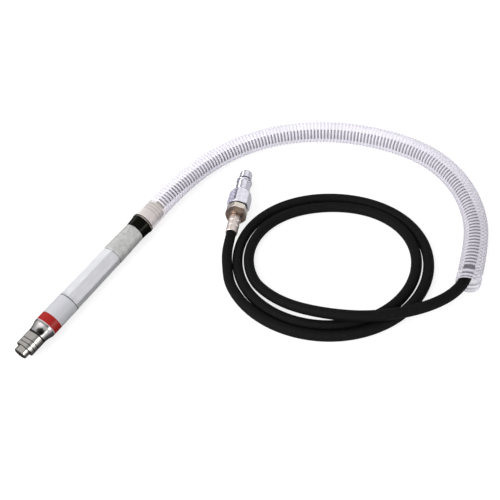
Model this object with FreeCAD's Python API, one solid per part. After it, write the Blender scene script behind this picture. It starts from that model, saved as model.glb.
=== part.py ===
import FreeCAD, Part

# Pencil air grinder: a vane motor in a slim barrel, a twist throttle, a ribbed exhaust hose pushed onto
# the rear, and an air hose that runs inside it, lies in a loose coil and ends in a quick-connect plug.
# Millimetres. The tool's axis lies along X at AXIS_Z, the nose points to +X, and z = 0 is the floor.
# A station is a distance along the tool, measured back from the front face of the collet nut.

import math
import os

from FreeCAD import Placement, Rotation, Vector

# Clearances
RUN_FIT = 0.05  # radial, a turning piece in its seat
SLIDE_FIT = 0.02  # radial, a piece pushed into its seat for good
CONE_FIT = 0.08  # radial, the collet in its cone while it is open
SHAFT_GAP = 0.3  # radial, round a shaft where nothing touches
END_GAP = 0.3  # axial, between pieces that turn against each other
SLOT_GAP = 0.1  # each side of a pin in a slot

# Outside of the tool, front to rear
NUT_R = 5.2
NUT_SHOWS = 5.0
NUT_FLATS = 9.0
HEAD_R = 7.35
HEAD_LENGTH = 12.5
HEAD_FLATS = 12.4
HEAD_GROOVE_DEPTH = 0.35
HEAD_GROOVE_WIDTH = 0.5
CONE_LENGTH = 9.2
CONE_STRAIGHT = 1.6
GRIP_R = 9.0
ROUND_LENGTH = 26.5
HEX_LENGTH = 51.5
FLAT_DEPTH = 1.1
HEX_FLATS = 2 * (GRIP_R - FLAT_DEPTH)
HEX_ROUND = 0.1
HEX_ROUND_R = GRIP_R - HEX_ROUND
HEX_RUN_OUT = 1.4
RING_LENGTH = 28.1
RING_REAR_R = 8.6
COLLAR_LENGTH = 9.8
FLANGE_LENGTH = 1.3
CUFF_RING_LENGTH = 0.7
CUFF_LENGTH = 19.2
CUFF_GRIP = 17.5

# Collet and spindle
SHANK_R = 1.5
SHANK_RELIEF = 0.3
COLLET_LENGTH = 12.0
COLLET_FRONT_R = 3.1
COLLET_REAR_R = 2.2
COLLET_SLOT = 0.5
NUT_THREAD_R = 4.0
NUT_DEPTH = 3.5
NUT_MOUTH_R = 2.6
NUT_LIP = 1.2
NECK_R = 3.5
JOURNAL_R = 2.5
TAIL_R = 2.0

# Barrel's bore and the bearings' seats in it
BARREL_WALL = 1.9
BORE_R = GRIP_R - BARREL_WALL
FRONT_SEAT_WALL = 0.6
FRONT_BEARING_R = BORE_R - FRONT_SEAT_WALL
REAR_SEAT_WALL = 1.6
REAR_BEARING_R = BORE_R - REAR_SEAT_WALL
BEARING_WIDTH = 4.0
RACE = 1.0
BALL_COUNT = 6
BALL_GAP = 0.03
CAGE_THICKNESS = 0.4

# Vane motor
MOTOR_R = BORE_R - SLIDE_FIT
FRONT_PLATE = 4.0
LINER_LENGTH = 36.0
LINER_WALL = 1.5
LINER_BORE_R = BORE_R - LINER_WALL
ECCENTRICITY = 0.65
ROTOR_TO_LINER = 0.15
ROTOR_R = LINER_BORE_R - ECCENTRICITY - ROTOR_TO_LINER
ROTOR_END_GAP = 0.1
VANE_COUNT = 4
VANE_THICKNESS = 1.0
ROTOR_WEB = 0.4
VANE_DEPTH = ROTOR_R - JOURNAL_R - ROTOR_WEB
SPACER_LENGTH = 3.5
REAR_DISC = 3.0
CUP_DEPTH = 5.0
LINER_PIN_R = 0.5
CLIP_R = 3.2
CLIP_GROOVE = 0.3
CLIP_THICKNESS = 0.6
SEAL_R = FRONT_BEARING_R - 0.9
SEAL_LENGTH = 2.3

# Throttle
RING_WALL = 1.0
JOURNAL_VALVE_R = RING_REAR_R - RING_WALL
BOSS_LENGTH = 15.5
AIR_BORE_R = 2.0
PORT_R = 1.2
PORT_SPACING = 7.0
O_RING_WIRE_R = 0.6
STOP_PIN_R = 0.8
STOP_PIN_INNER_R = 4.5
STOP_PIN_REACH = 0.45
THROTTLE_TURN = 60.0
POCKET_DEPTH = 0.5

# Exhaust hose
EXHAUST_R = 9.0
EXHAUST_WALL = 0.55
RIB_HEIGHT = 0.8
RIB_COUNT = 96
CREST_SHARE = 0.45
PLAIN_END = 1.5
PLAIN_R = 8.7
END_RIBS = 2
END_GROOVE = 2.7
BORE_STEPS = 30
ROOT_R = EXHAUST_R - RIB_HEIGHT
EXHAUST_BORE_R = ROOT_R - EXHAUST_WALL

# Rear fittings, sized from the bore of the exhaust hose that they hold
SPIGOT_STRETCH = 0.25
SPIGOT_R = EXHAUST_BORE_R + SPIGOT_STRETCH
SPIGOT_WALL = 1.0
RIDGE_HEIGHT = 0.2
RIDGE_WIDTH = 0.6
RIDGE_PITCH = 1.8
FLANGE_STEP = 1.85
FLANGE_R = SPIGOT_R + FLANGE_STEP
CUFF_STEP = 0.1
COLLAR_STEP = 0.45
COLLAR_REAR_R = FLANGE_R - COLLAR_STEP
BOSS_CLEARANCE = 0.5
BOSS_R = SPIGOT_R - SPIGOT_WALL - BOSS_CLEARANCE
PASSAGE_R = 0.9
NIPPLE_THREAD_R = 3.0
NIPPLE_HEX = 8.0
PASSAGE_OFFSET = (BOSS_R + NIPPLE_THREAD_R) / 2 + 0.2

# Air hose and its crimped sleeves
AIR_R = 4.1
AIR_BORE_WALL = 1.6
HOSE_BORE_R = AIR_R - AIR_BORE_WALL
BARB_R = HOSE_BORE_R - 0.1
BARB_STEP = 0.25
BARB_BORE_R = 1.2
FERRULE_WALL = 0.9
CRIMP_DEPTH = 0.25

# Connector on the air hose
FERRULE_LENGTH = 17.0
STEM_HEX = 15.4
STEM_HEX_LENGTH = 5.5
NUT_HEX = 15.5
NUT_HEX_LENGTH = 5.0
NUT_HEX_TURN = 23.0
STEM_TAIL_R = 5.0
WASHER_R = 7.9
WASHER_LENGTH = 1.0
PLUG_HEX = 17.0
PLUG_HEX_LENGTH = 11.0
PLUG_HEX_TURN = 24.0
PLUG_SHOULDER = 7.0
PLUG_NECK_R = 6.1
PLUG_NECK_LENGTH = 10.0
PLUG_RING_R = 6.75
PLUG_RING_LENGTH = 2.0
PLUG_GROOVE_R = 4.4
PLUG_GROOVE_LENGTH = 2.2
PLUG_NOSE_R = 5.4
PLUG_NOSE_LENGTH = 8.8
PLUG_BORE_R = 3.6
CONNECTOR_TURN = -157.0  # heading of the connector, degrees about Z
CONNECTOR_START = (-88.4, 72.5)

# Angles about the tool's axis, from its right side over its top
NUT_FLAT_ANGLE = 103.0
HEAD_FLAT_ANGLE = 90.0
HEX_TURN = 47.0
PORT_ANGLE = 200.0
STOP_ANGLE = 20.0

# Places that follow from the sizes above; the cuff keeps its place where the hoses start
AXIS_Z = FLANGE_R
CUFF_X = -63.5
S_HEAD = NUT_SHOWS
S_HEAD_END = S_HEAD + HEAD_LENGTH
S_CONE = S_HEAD_END + END_GAP
S_BARREL = S_CONE + CONE_LENGTH
S_HEX = S_BARREL + ROUND_LENGTH
S_BARREL_END = S_HEX + HEX_LENGTH
S_RING = S_BARREL_END + END_GAP
S_RING_END = S_RING + RING_LENGTH
S_COLLAR = S_RING_END + END_GAP
S_FLANGE = S_COLLAR + COLLAR_LENGTH
S_CUFF_RING = S_FLANGE + FLANGE_LENGTH
S_CUFF = S_CUFF_RING + CUFF_RING_LENGTH
NOSE_X = CUFF_X + S_CUFF
S_BEARING = S_BARREL + 1.5
S_SPACER = S_BEARING + BEARING_WIDTH
S_FRONT_PLATE = S_SPACER + SPACER_LENGTH
S_LINER = S_FRONT_PLATE + FRONT_PLATE
S_REAR_PLATE = S_LINER + LINER_LENGTH
S_CUP = S_REAR_PLATE + REAR_DISC
S_VALVE = S_CUP + CUP_DEPTH
S_REAR_BEARING = S_VALVE - BEARING_WIDTH - 0.5
S_CLIP = S_REAR_BEARING + BEARING_WIDTH + 0.2
S_SEAL = S_CONE + 2.8
S_BOSS_END = S_COLLAR + BOSS_LENGTH
S_SPIGOT_END = S_CUFF + CUFF_GRIP
S_FERRULE_END = S_SPIGOT_END + 1.0
S_NIPPLE_HEX = S_BOSS_END + 0.3
S_AIR_HOSE = S_NIPPLE_HEX + 4.0

# Route of the exhaust hose: the corners of its straight runs, on the floor
EXHAUST_ROUTE = [
    (CUFF_X, 0.0, AXIS_Z),
    (-95.5, 0.0, AXIS_Z),
    (-128.0, 2.3, 9.2),
    (-155.5, 9.0, EXHAUST_R),
    (-185.5, 24.5, EXHAUST_R),
    (-212.5, 50.0, EXHAUST_R),
    (-233.5, 87.5, EXHAUST_R),
    (-243.0, 131.0, EXHAUST_R),
    (-241.0, 174.0, EXHAUST_R),
    (-222.0, 210.0, EXHAUST_R),
    (-190.5, 236.5, EXHAUST_R),
    (-156.0, 248.6, EXHAUST_R),
    (-127.8, 254.3, EXHAUST_R),
]

# The air hose lies to the inside of that bend and low in it
AIR_INSET = 1.4
AIR_DROP = 1.2
AIR_LAST_POINTS = [(-173.0, 242.0, 7.8), (-158.0, 246.3, 7.8)]

# The air hose from the open end of the exhaust hose, over its own two outer turns, down onto the floor
LEAD_IN = [
    (-132.2, 251.8, 8.1),
    (-115.3, 248.7, 9.4),
    (-99.5, 240.9, 11.6),
    (-85.9, 229.9, 12.9),
    (-74.5, 216.6, 13.1),
    (-65.0, 201.9, 13.0),
    (-58.2, 185.7, 12.5),
    (-53.9, 168.9, 10.8),
    (-52.3, 151.9, 7.8),
    (-53.4, 135.2, 5.0),
]

# Coil: an oval spiral that grows by COIL_PITCH a turn, wound clockwise seen from above. Its oval leans
# a little less with each turn, and a slight egg shape is added.
COIL_CENTRE = (-105.4, 152.2)
COIL_R = 54.9
COIL_PITCH = 10.0
COIL_OVAL = 4.55
COIL_OVAL_FADE = 0.2
COIL_LEAN = 229.6
COIL_LEAN_DRIFT = 7.4
COIL_EGG = 0.5
COIL_EGG_LEAN = 55.0
COIL_FROM = -35.0
COIL_TO = -765.0
COIL_SPANS = 9
LEAST_GAP = 0.4

# The last of the air hose, where it rises from the floor to the connector
LEAD_OUT = [(-60.4, 87.2, 5.0), (-70.0, 80.6, 7.6)]


def x_at(station):
    """The X of a station."""
    return NOSE_X - station


def on_axis(station):
    """The point of the tool's axis at a station."""
    return Vector(x_at(station), 0, AXIS_Z)


def profile_face(points):
    """A closed flat profile through (along, radius) points; a point of four numbers ends an arc
    through its first two."""
    edges = []
    here = points[0]
    for point in points[1:] + points[:1]:
        end = point[-2:]
        start = Vector(here[0], 0, here[1])
        stop = Vector(end[0], 0, end[1])
        if start.distanceToPoint(stop) > 1e-6:
            if len(point) == 4:
                middle = Vector(point[0], 0, point[1])
                edges.append(Part.Arc(start, middle, stop).toShape())
            else:
                edges.append(Part.makeLine(start, stop))
        here = end
    return Part.Face(Part.Wire(edges))


def revolved(points):
    """A turned solid round the X axis from a profile of (station, radius) points."""
    return profile_face(points).revolve(Vector(0, 0, 0), Vector(1, 0, 0), 360)


def placed(shape):
    """Moves a solid from station space (along +X from the origin) onto the tool."""
    turn = Rotation(Vector(0, 0, 1), 180)
    shape.Placement = Placement(on_axis(0), turn)
    return shape


def tube(start, end, outer, inner):
    """A plain ring in station space, or a rod where inner is 0."""
    return revolved([(start, inner), (start, outer), (end, outer), (end, inner)])


def rod(start, end, radius, angle=0.0, offset=0.0):
    """A cylinder along the axis, offset from it towards angle."""
    turn = math.radians(angle)
    base = Vector(start, offset * math.cos(turn), offset * math.sin(turn))
    return Part.makeCylinder(radius, end - start, base, Vector(1, 0, 0))


def radial(station, radius, inner, outer, angle):
    """A cylinder that points out from the axis at a station, from inner to outer."""
    turn = math.radians(angle)
    out = Vector(0, math.cos(turn), math.sin(turn))
    return Part.makeCylinder(radius, outer - inner, Vector(station, 0, 0) + out * inner, out)


def hexagon(start, end, across, turn=0.0):
    """A hexagonal prism along the axis with a flat facing up, or turned from there."""
    corner = across / math.sqrt(3)
    points = []
    for k in range(7):
        angle = math.radians(60 * k + turn)
        points.append(Vector(start, corner * math.cos(angle), corner * math.sin(angle)))
    return Part.Face(Part.makePolygon(points)).extrude(Vector(end - start, 0, 0))


def flats(start, end, across, radius, angle):
    """The two pieces to cut away for wrench flats, their faces square to angle."""
    width = 2 * radius + 2
    block = Part.makeBox(end - start, width, width)
    pieces = []
    for side in (0, 180):
        piece = block.copy()
        piece.translate(Vector(start, across / 2, -width / 2))
        piece.rotate(Vector(0, 0, 0), Vector(1, 0, 0), angle + side)
        pieces.append(piece)
    return pieces


def sector(start, end, outer, inner, first, last):
    """A ring piece between two angles."""
    ring = tube(start, end, outer, inner)
    reach = 2 * outer
    wedge_points = [Vector(start - 1, 0, 0)]
    for k in range(5):
        angle = math.radians(first + (last - first) * k / 4)
        wedge_points.append(Vector(start - 1, reach * math.cos(angle), reach * math.sin(angle)))
    wedge_points.append(wedge_points[0])
    wedge = Part.Face(Part.makePolygon(wedge_points)).extrude(Vector(end - start + 2, 0, 0))
    return ring.common(wedge)


def make_collet_nut():
    """Round nut with two flats; its lip presses on the front of the collet."""
    end = NUT_SHOWS + NUT_DEPTH
    thread = NUT_THREAD_R + RUN_FIT
    cone_end = NUT_LIP + (COLLET_FRONT_R + RUN_FIT - NUT_MOUTH_R)
    nut = revolved([
        (0, NUT_MOUTH_R), (0, NUT_R - 1.0), (0.3, NUT_R - 0.3, 1.0, NUT_R),
        (end, NUT_R), (end, thread), (cone_end + 0.6, thread), (cone_end, COLLET_FRONT_R + RUN_FIT),
        (NUT_LIP, NUT_MOUTH_R),
    ])
    return placed(nut.cut(flats(-1, NUT_SHOWS - 0.4, NUT_FLATS, NUT_R, NUT_FLAT_ANGLE)))


def make_collet():
    """Split sleeve with a cone at each end; four slots from the front."""
    front = NUT_LIP + 0.1
    cone = COLLET_FRONT_R - NUT_MOUTH_R
    back = front + COLLET_LENGTH
    body = revolved([
        (front, SHANK_R), (front, NUT_MOUTH_R), (front + cone, COLLET_FRONT_R), (front + cone + 0.8, COLLET_FRONT_R),
        (back, COLLET_REAR_R), (back, SHANK_R),
    ])
    slot_end = back - 3.0
    reach = 2 * COLLET_FRONT_R
    cuts = []
    for turn in (45, 135):
        slot = Part.makeBox(slot_end - front + 1, reach, COLLET_SLOT)
        slot.translate(Vector(front - 1, -reach / 2, -COLLET_SLOT / 2))
        slot.rotate(Vector(0, 0, 0), Vector(1, 0, 0), turn)
        cuts.append(slot)
    return placed(body.cut(cuts))


def make_spindle():
    """Threaded nose, head with grooves and wrench flats, neck, journals; bored for collet and shank."""
    nose = NUT_LIP + COLLET_FRONT_R - NUT_MOUTH_R + 1.3
    recess = NUT_SHOWS + NUT_DEPTH + END_GAP
    socket_end = NUT_LIP + 0.1 + COLLET_LENGTH
    slope = (COLLET_FRONT_R - COLLET_REAR_R) / (COLLET_LENGTH - (COLLET_FRONT_R - NUT_MOUTH_R) - 0.8)
    mouth = COLLET_REAR_R + slope * (socket_end - nose) + CONE_FIT
    groove = HEAD_R - HEAD_GROOVE_DEPTH
    first = S_HEAD + 0.22 * HEAD_LENGTH
    second = S_HEAD + 0.48 * HEAD_LENGTH
    width = HEAD_GROOVE_WIDTH
    bore_end = S_BARREL - 2.0
    bore = SHANK_R + SHANK_RELIEF
    clip_floor = TAIL_R - CLIP_GROOVE
    clip_end = S_CLIP + CLIP_THICKNESS
    tail_end = clip_end + 0.8
    shaft = revolved([
        (nose, mouth), (nose, NUT_THREAD_R), (recess, NUT_THREAD_R), (recess, NUT_R + RUN_FIT),
        (S_HEAD, NUT_R + RUN_FIT), (S_HEAD, HEAD_R - 0.3), (S_HEAD + 0.3, HEAD_R),
        (first, HEAD_R), (first, groove), (first + width, groove), (first + width, HEAD_R),
        (second, HEAD_R), (second, groove), (second + width, groove), (second + width, HEAD_R),
        (S_HEAD_END - 0.2, HEAD_R), (S_HEAD_END, HEAD_R - 0.2), (S_HEAD_END, NECK_R),
        (S_BEARING, NECK_R), (S_BEARING, JOURNAL_R), (S_REAR_BEARING, JOURNAL_R),
        (S_REAR_BEARING, TAIL_R), (S_CLIP, TAIL_R), (S_CLIP, clip_floor), (clip_end, clip_floor),
        (clip_end, TAIL_R), (tail_end, TAIL_R), (tail_end, 0),
        (bore_end, 0), (bore_end - 1.0, bore), (socket_end + 0.3, bore),
        (socket_end + 0.3, COLLET_REAR_R + CONE_FIT - 0.3 * slope),
    ])
    return placed(shaft.cut(flats(S_HEAD - 1, S_HEAD_END + 1, HEAD_FLATS, HEAD_R, HEAD_FLAT_ANGLE)))


def make_nose_cone():
    """Flared front cover with the seat of the seal and of the front bearing."""
    flare_end = S_BARREL - CONE_STRAIGHT
    middle = (S_CONE + flare_end) / 2
    bore = NECK_R + SHAFT_GAP
    seal_end = S_SEAL + SEAL_LENGTH + SLOT_GAP
    return placed(revolved([
        (S_CONE, bore), (S_CONE, HEAD_R), (S_CONE + 1.2, HEAD_R),
        (middle + 0.6, HEAD_R + 0.55, flare_end, GRIP_R - 0.05), (S_BARREL, GRIP_R),
        (S_BARREL, MOTOR_R), (S_FRONT_PLATE, MOTOR_R), (S_FRONT_PLATE, FRONT_BEARING_R),
        (S_BEARING, FRONT_BEARING_R), (S_BEARING, FRONT_BEARING_R - RACE), (seal_end, FRONT_BEARING_R - RACE),
        (seal_end, SEAL_R), (S_SEAL, SEAL_R), (S_SEAL, bore),
    ]))


def make_nose_seal():
    """Felt ring in the cone, round the neck of the spindle."""
    return placed(tube(S_SEAL, S_SEAL + SEAL_LENGTH, SEAL_R, NECK_R + RUN_FIT))


def make_barrel():
    """Round under the label, hexagonal behind it, bored through."""
    skin = tube(S_BARREL, S_BARREL_END, GRIP_R, 0)
    rounded = revolved([
        (S_HEX, GRIP_R + 1), (S_HEX, GRIP_R), (S_HEX + HEX_RUN_OUT, HEX_ROUND_R),
        (S_BARREL_END - HEX_RUN_OUT, HEX_ROUND_R), (S_BARREL_END, GRIP_R), (S_BARREL_END, GRIP_R + 1),
    ])
    hex_start = S_HEX + 0.5
    hex_end = S_BARREL_END + 1
    faces = tube(hex_start, hex_end, GRIP_R + 2, 0).cut(hexagon(hex_start, hex_end, HEX_FLATS, HEX_TURN))
    bore = rod(S_BARREL - 1, S_BARREL_END + 1, BORE_R)
    return placed(skin.cut([rounded, faces, bore]))


def bearing(name, start, outer, inner):
    """Outer race, inner race, balls and cage of one bearing, as {node: shape}."""
    end = start + BEARING_WIDTH
    raceway_out = outer - RACE
    raceway_in = inner + RACE * 0.9
    pitch = (raceway_out + raceway_in) / 2
    ball = (raceway_out - raceway_in) / 2 - BALL_GAP
    middle = (start + end) / 2
    balls = []
    for k in range(BALL_COUNT):
        angle = 2 * math.pi * k / BALL_COUNT
        centre = Vector(middle, pitch * math.cos(angle), pitch * math.sin(angle))
        balls.append(Part.makeSphere(ball, centre))
    beside = middle + ball + BALL_GAP
    half = ball * 0.55
    return {
        name + "_outer": placed(tube(start, end, outer, raceway_out)),
        name + "_inner": placed(tube(start, end, raceway_in, inner)),
        name + "_balls": placed(Part.makeCompound(balls)),
        name + "_cage": placed(tube(beside, beside + CAGE_THICKNESS, pitch + half, pitch - half)),
    }


def make_bearing_spacer():
    """Sleeve between the front bearing and the front plate."""
    return placed(tube(S_SPACER, S_FRONT_PLATE, FRONT_BEARING_R, FRONT_BEARING_R - RACE))


def pin_hole():
    """The axial hole for the pin that locates plates and liner."""
    return rod(S_FRONT_PLATE + 1.5, S_CUP - 0.8, LINER_PIN_R, 180, BORE_R - 2 * LINER_PIN_R + 0.2)


def make_front_plate():
    """Front end plate of the motor."""
    plate = tube(S_FRONT_PLATE, S_LINER, MOTOR_R, JOURNAL_R + SHAFT_GAP)
    return placed(plate.cut(pin_hole()))


def make_liner():
    """Liner with an eccentric bore, a row of exhaust holes and a flat beside them."""
    body = tube(S_LINER, S_REAR_PLATE, MOTOR_R, 0)
    bore = Part.makeCylinder(
        LINER_BORE_R, LINER_LENGTH + 2, Vector(S_LINER - 1, 0, ECCENTRICITY), Vector(1, 0, 0)
    )
    cuts = [bore, pin_hole()]
    count = 5
    for k in range(count):
        station = S_LINER + LINER_LENGTH * (k + 1) / (count + 1)
        cuts.append(radial(station, 1.0, LINER_BORE_R - 1.5, BORE_R + 1, 0))
    cuts += flats(S_LINER + 3, S_REAR_PLATE - 3, 2 * (BORE_R - 0.6), BORE_R, 0)[:1]
    return placed(body.cut(cuts))


def make_rotor():
    """Rotor on the spindle with a slot for each vane."""
    body = tube(S_LINER + ROTOR_END_GAP, S_REAR_PLATE - ROTOR_END_GAP, ROTOR_R, JOURNAL_R)
    cuts = []
    for k in range(VANE_COUNT):
        slot = Part.makeBox(LINER_LENGTH + 2, ROTOR_R, VANE_THICKNESS + 2 * RUN_FIT)
        slot.translate(Vector(S_LINER - 1, ROTOR_R - VANE_DEPTH - RUN_FIT, -VANE_THICKNESS / 2 - RUN_FIT))
        slot.rotate(Vector(0, 0, 0), Vector(1, 0, 0), 360 / VANE_COUNT * k + 45)
        cuts.append(slot)
    return placed(body.cut(cuts))


def make_vanes():
    """Vanes drawn in to the rotor's rim, where they clear the liner all round."""
    blades = []
    gap = ROTOR_END_GAP + RUN_FIT
    for k in range(VANE_COUNT):
        blade = Part.makeBox(LINER_LENGTH - 2 * gap, VANE_DEPTH, VANE_THICKNESS)
        blade.translate(Vector(S_LINER + gap, ROTOR_R - VANE_DEPTH, -VANE_THICKNESS / 2))
        blade.rotate(Vector(0, 0, 0), Vector(1, 0, 0), 360 / VANE_COUNT * k + 45)
        blades.append(blade)
    return placed(Part.makeCompound(blades))


def make_rear_plate():
    """Rear end plate with a cup that holds the rear bearing."""
    shoulder = S_REAR_BEARING
    plate = revolved([
        (S_REAR_PLATE, JOURNAL_R + SHAFT_GAP), (S_REAR_PLATE, MOTOR_R), (S_VALVE, MOTOR_R),
        (S_VALVE, REAR_BEARING_R), (shoulder, REAR_BEARING_R), (shoulder, REAR_BEARING_R - RACE),
        (S_CUP, REAR_BEARING_R - RACE), (S_CUP, JOURNAL_R + SHAFT_GAP),
    ])
    return placed(plate.cut(pin_hole()))


def make_rotor_clip():
    """Open retaining clip in the groove of the spindle's tail."""
    clip = tube(S_CLIP, S_CLIP + CLIP_THICKNESS, CLIP_R, TAIL_R - CLIP_GROOVE)
    width = 1.2 * TAIL_R
    mouth = Part.makeBox(CLIP_THICKNESS + 0.4, width, 2 * CLIP_R)
    mouth.translate(Vector(S_CLIP - 0.2, -width / 2, -2 * CLIP_R))
    return placed(clip.cut(mouth))


def make_liner_pin():
    """Pin through front plate, liner and rear plate."""
    return placed(pin_hole())


def port_stations():
    """Stations of the motor port and of the inlet port under the ring."""
    middle = S_RING + RING_LENGTH * 0.45
    return middle - PORT_SPACING / 2, middle + PORT_SPACING / 2


def o_ring_stations():
    """Stations of the two O-rings."""
    return S_RING + 3.0, S_RING_END - 3.0


def make_valve_body():
    """Core of the throttle: front spigot in the barrel, journal for the ring, boss for the rear pieces."""
    core = revolved([
        (S_VALVE, 0), (S_VALVE, MOTOR_R), (S_BARREL_END, MOTOR_R), (S_BARREL_END, JOURNAL_VALVE_R),
        (S_COLLAR, JOURNAL_VALVE_R), (S_COLLAR, BOSS_R), (S_BOSS_END, BOSS_R), (S_BOSS_END, 0),
    ])
    motor_port, inlet_port = port_stations()
    cuts = [
        rod(S_VALVE - 1, S_CLIP + 3.0, REAR_BEARING_R - RACE),
        rod(S_VALVE, motor_port + PORT_R, AIR_BORE_R),
        rod(inlet_port - PORT_R, S_BOSS_END + 1, AIR_BORE_R),
        rod(S_BOSS_END - 9.0, S_BOSS_END + 1, NIPPLE_THREAD_R),
        radial(motor_port, PORT_R, 0, JOURNAL_VALVE_R + 1, PORT_ANGLE),
        radial(inlet_port, PORT_R, 0, JOURNAL_VALVE_R + 1, PORT_ANGLE),
        radial(stop_station(), STOP_PIN_R, STOP_PIN_INNER_R, JOURNAL_VALVE_R + 1, STOP_ANGLE),
    ]
    wire = O_RING_WIRE_R
    for station in o_ring_stations():
        cuts.append(tube(station - wire, station + wire, JOURNAL_VALVE_R + 1, JOURNAL_VALVE_R - 2 * wire))
    for angle in (60, 140, 270, 340):
        cuts.append(rod(S_VALVE + 6.0, S_BOSS_END + 1, PASSAGE_R, angle, PASSAGE_OFFSET))
    return placed(core.cut(cuts))


def make_o_rings():
    """O-rings, pressed a little square in their grooves, on each side of the ports."""
    half = O_RING_WIRE_R - SLIDE_FIT
    low = JOURNAL_VALVE_R - 2 * O_RING_WIRE_R
    corner = O_RING_WIRE_R * 0.4
    rings = []
    for station in o_ring_stations():
        rings.append(revolved([
            (station - half + corner, low), (station - half, low + corner),
            (station - half, JOURNAL_VALVE_R - corner), (station - half + corner, JOURNAL_VALVE_R),
            (station + half - corner, JOURNAL_VALVE_R), (station + half, JOURNAL_VALVE_R - corner),
            (station + half, low + corner), (station + half - corner, low),
        ]))
    return placed(Part.makeCompound(rings))


def stop_station():
    """Station of the stop pin, between the inlet port and the rear O-ring."""
    return (port_stations()[1] + PORT_R + o_ring_stations()[1] - O_RING_WIRE_R) / 2


def stop_reach():
    """How far the stop pin reaches out from the axis."""
    return JOURNAL_VALVE_R + STOP_PIN_REACH


def make_stop_pin():
    """Pin in the valve body; its end stands in the ring's slot."""
    return placed(radial(stop_station(), STOP_PIN_R, STOP_PIN_INNER_R, stop_reach(), STOP_ANGLE))


def make_throttle_ring():
    """Twist ring with a pocket that joins the two ports when open and a slot for the stop pin."""
    bore = JOURNAL_VALVE_R + RUN_FIT
    ring = revolved([
        (S_RING, bore), (S_RING, GRIP_R - 0.25), (S_RING + 0.25, GRIP_R),
        (S_RING_END - 0.25, RING_REAR_R), (S_RING_END, RING_REAR_R - 0.2), (S_RING_END, bore),
    ])
    motor_port, inlet_port = port_stations()
    half = math.degrees((PORT_R + 0.4) / JOURNAL_VALVE_R)
    opening = PORT_ANGLE - THROTTLE_TURN
    pocket = sector(
        motor_port - PORT_R, inlet_port + PORT_R, bore + POCKET_DEPTH, bore - 1, opening - half, opening + half
    )
    pin_half = math.degrees((STOP_PIN_R + SLOT_GAP) / JOURNAL_VALVE_R)
    station = stop_station()
    width = STOP_PIN_R + SLOT_GAP
    slot = sector(
        station - width, station + width, stop_reach() + SLOT_GAP, bore - 1,
        STOP_ANGLE - THROTTLE_TURN - pin_half, STOP_ANGLE + pin_half,
    )
    return placed(ring.cut([pocket, slot]))


def make_rear_collar():
    """Black collar screwed on the boss; it flares to the rear and holds the ring."""
    return placed(revolved([
        (S_COLLAR, BOSS_R + RUN_FIT), (S_COLLAR, RING_REAR_R - 0.2), (S_COLLAR + 0.3, RING_REAR_R),
        (S_FLANGE - 0.3, COLLAR_REAR_R), (S_FLANGE, COLLAR_REAR_R - 0.3), (S_FLANGE, BOSS_R + RUN_FIT),
    ]))


def make_spigot():
    """Metal spigot for the exhaust hose: flange, tube and three ridges near its end."""
    inner = SPIGOT_R - SPIGOT_WALL
    profile = [
        (S_FLANGE, BOSS_R + RUN_FIT), (S_FLANGE, FLANGE_R), (S_CUFF_RING, FLANGE_R), (S_CUFF_RING, SPIGOT_R),
    ]
    for k in range(3):
        ridge = S_SPIGOT_END - 2.0 - RIDGE_PITCH * (2 - k)
        profile += [(ridge, SPIGOT_R), (ridge, SPIGOT_R + RIDGE_HEIGHT)]
        profile += [(ridge + RIDGE_WIDTH, SPIGOT_R + RIDGE_HEIGHT), (ridge + RIDGE_WIDTH, SPIGOT_R)]
    profile += [
        (S_SPIGOT_END, SPIGOT_R), (S_SPIGOT_END, inner), (S_BOSS_END, inner), (S_BOSS_END, BOSS_R + RUN_FIT),
    ]
    return placed(revolved(profile))


def make_cuff_ring():
    """Thin dark ring between the flange and the hose's cuff."""
    return placed(tube(S_CUFF_RING, S_CUFF, FLANGE_R - CUFF_STEP - 0.05, SPIGOT_R))


def make_inlet_nipple():
    """Air nipple screwed into the valve body, with a hexagon and a barb for the hose."""
    hex_end = S_NIPPLE_HEX + 3.0
    end = S_SPIGOT_END - 0.5
    barb = S_AIR_HOSE + 1.0
    core = BARB_R - BARB_STEP
    stem = revolved([
        (S_BOSS_END - 8.0, BARB_BORE_R), (S_BOSS_END - 8.0, NIPPLE_THREAD_R), (hex_end, NIPPLE_THREAD_R),
        (hex_end, core), (barb, core), (barb, BARB_R), (barb + 2.5, core),
        (barb + 2.5, BARB_R), (barb + 5.0, core), (end, core), (end, BARB_BORE_R),
    ])
    head = hexagon(S_NIPPLE_HEX, hex_end, NIPPLE_HEX).cut(rod(S_NIPPLE_HEX - 1, hex_end + 1, BARB_BORE_R))
    return placed(stem.fuse(head).removeSplitter())


def ferrule_profile(start, end, lip):
    """Profile of a crimped sleeve: a closed front lip, two crimp waists and a plain rim."""
    outer = AIR_R + FERRULE_WALL
    length = end - start
    waist = outer - CRIMP_DEPTH
    profile = [(start, lip), (start, outer - 0.3), (start + 0.3, outer)]
    for share in (0.3, 0.62):
        a = start + length * share
        b = a + length * 0.16
        profile += [(a, outer), (a + 0.5, waist), (b - 0.5, waist), (b, outer)]
    bore = AIR_R + SLIDE_FIT
    return profile + [(end - 0.2, outer), (end, outer - 0.2), (end, bore), (start + 0.8, bore), (start + 0.8, lip)]


def make_inlet_ferrule():
    """Crimped sleeve on the tool's end of the air hose."""
    return placed(revolved(ferrule_profile(S_AIR_HOSE - 0.8, S_FERRULE_END, BARB_R)))


def unit(vector):
    """The vector at length one."""
    return vector * (1 / vector.Length)


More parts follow.
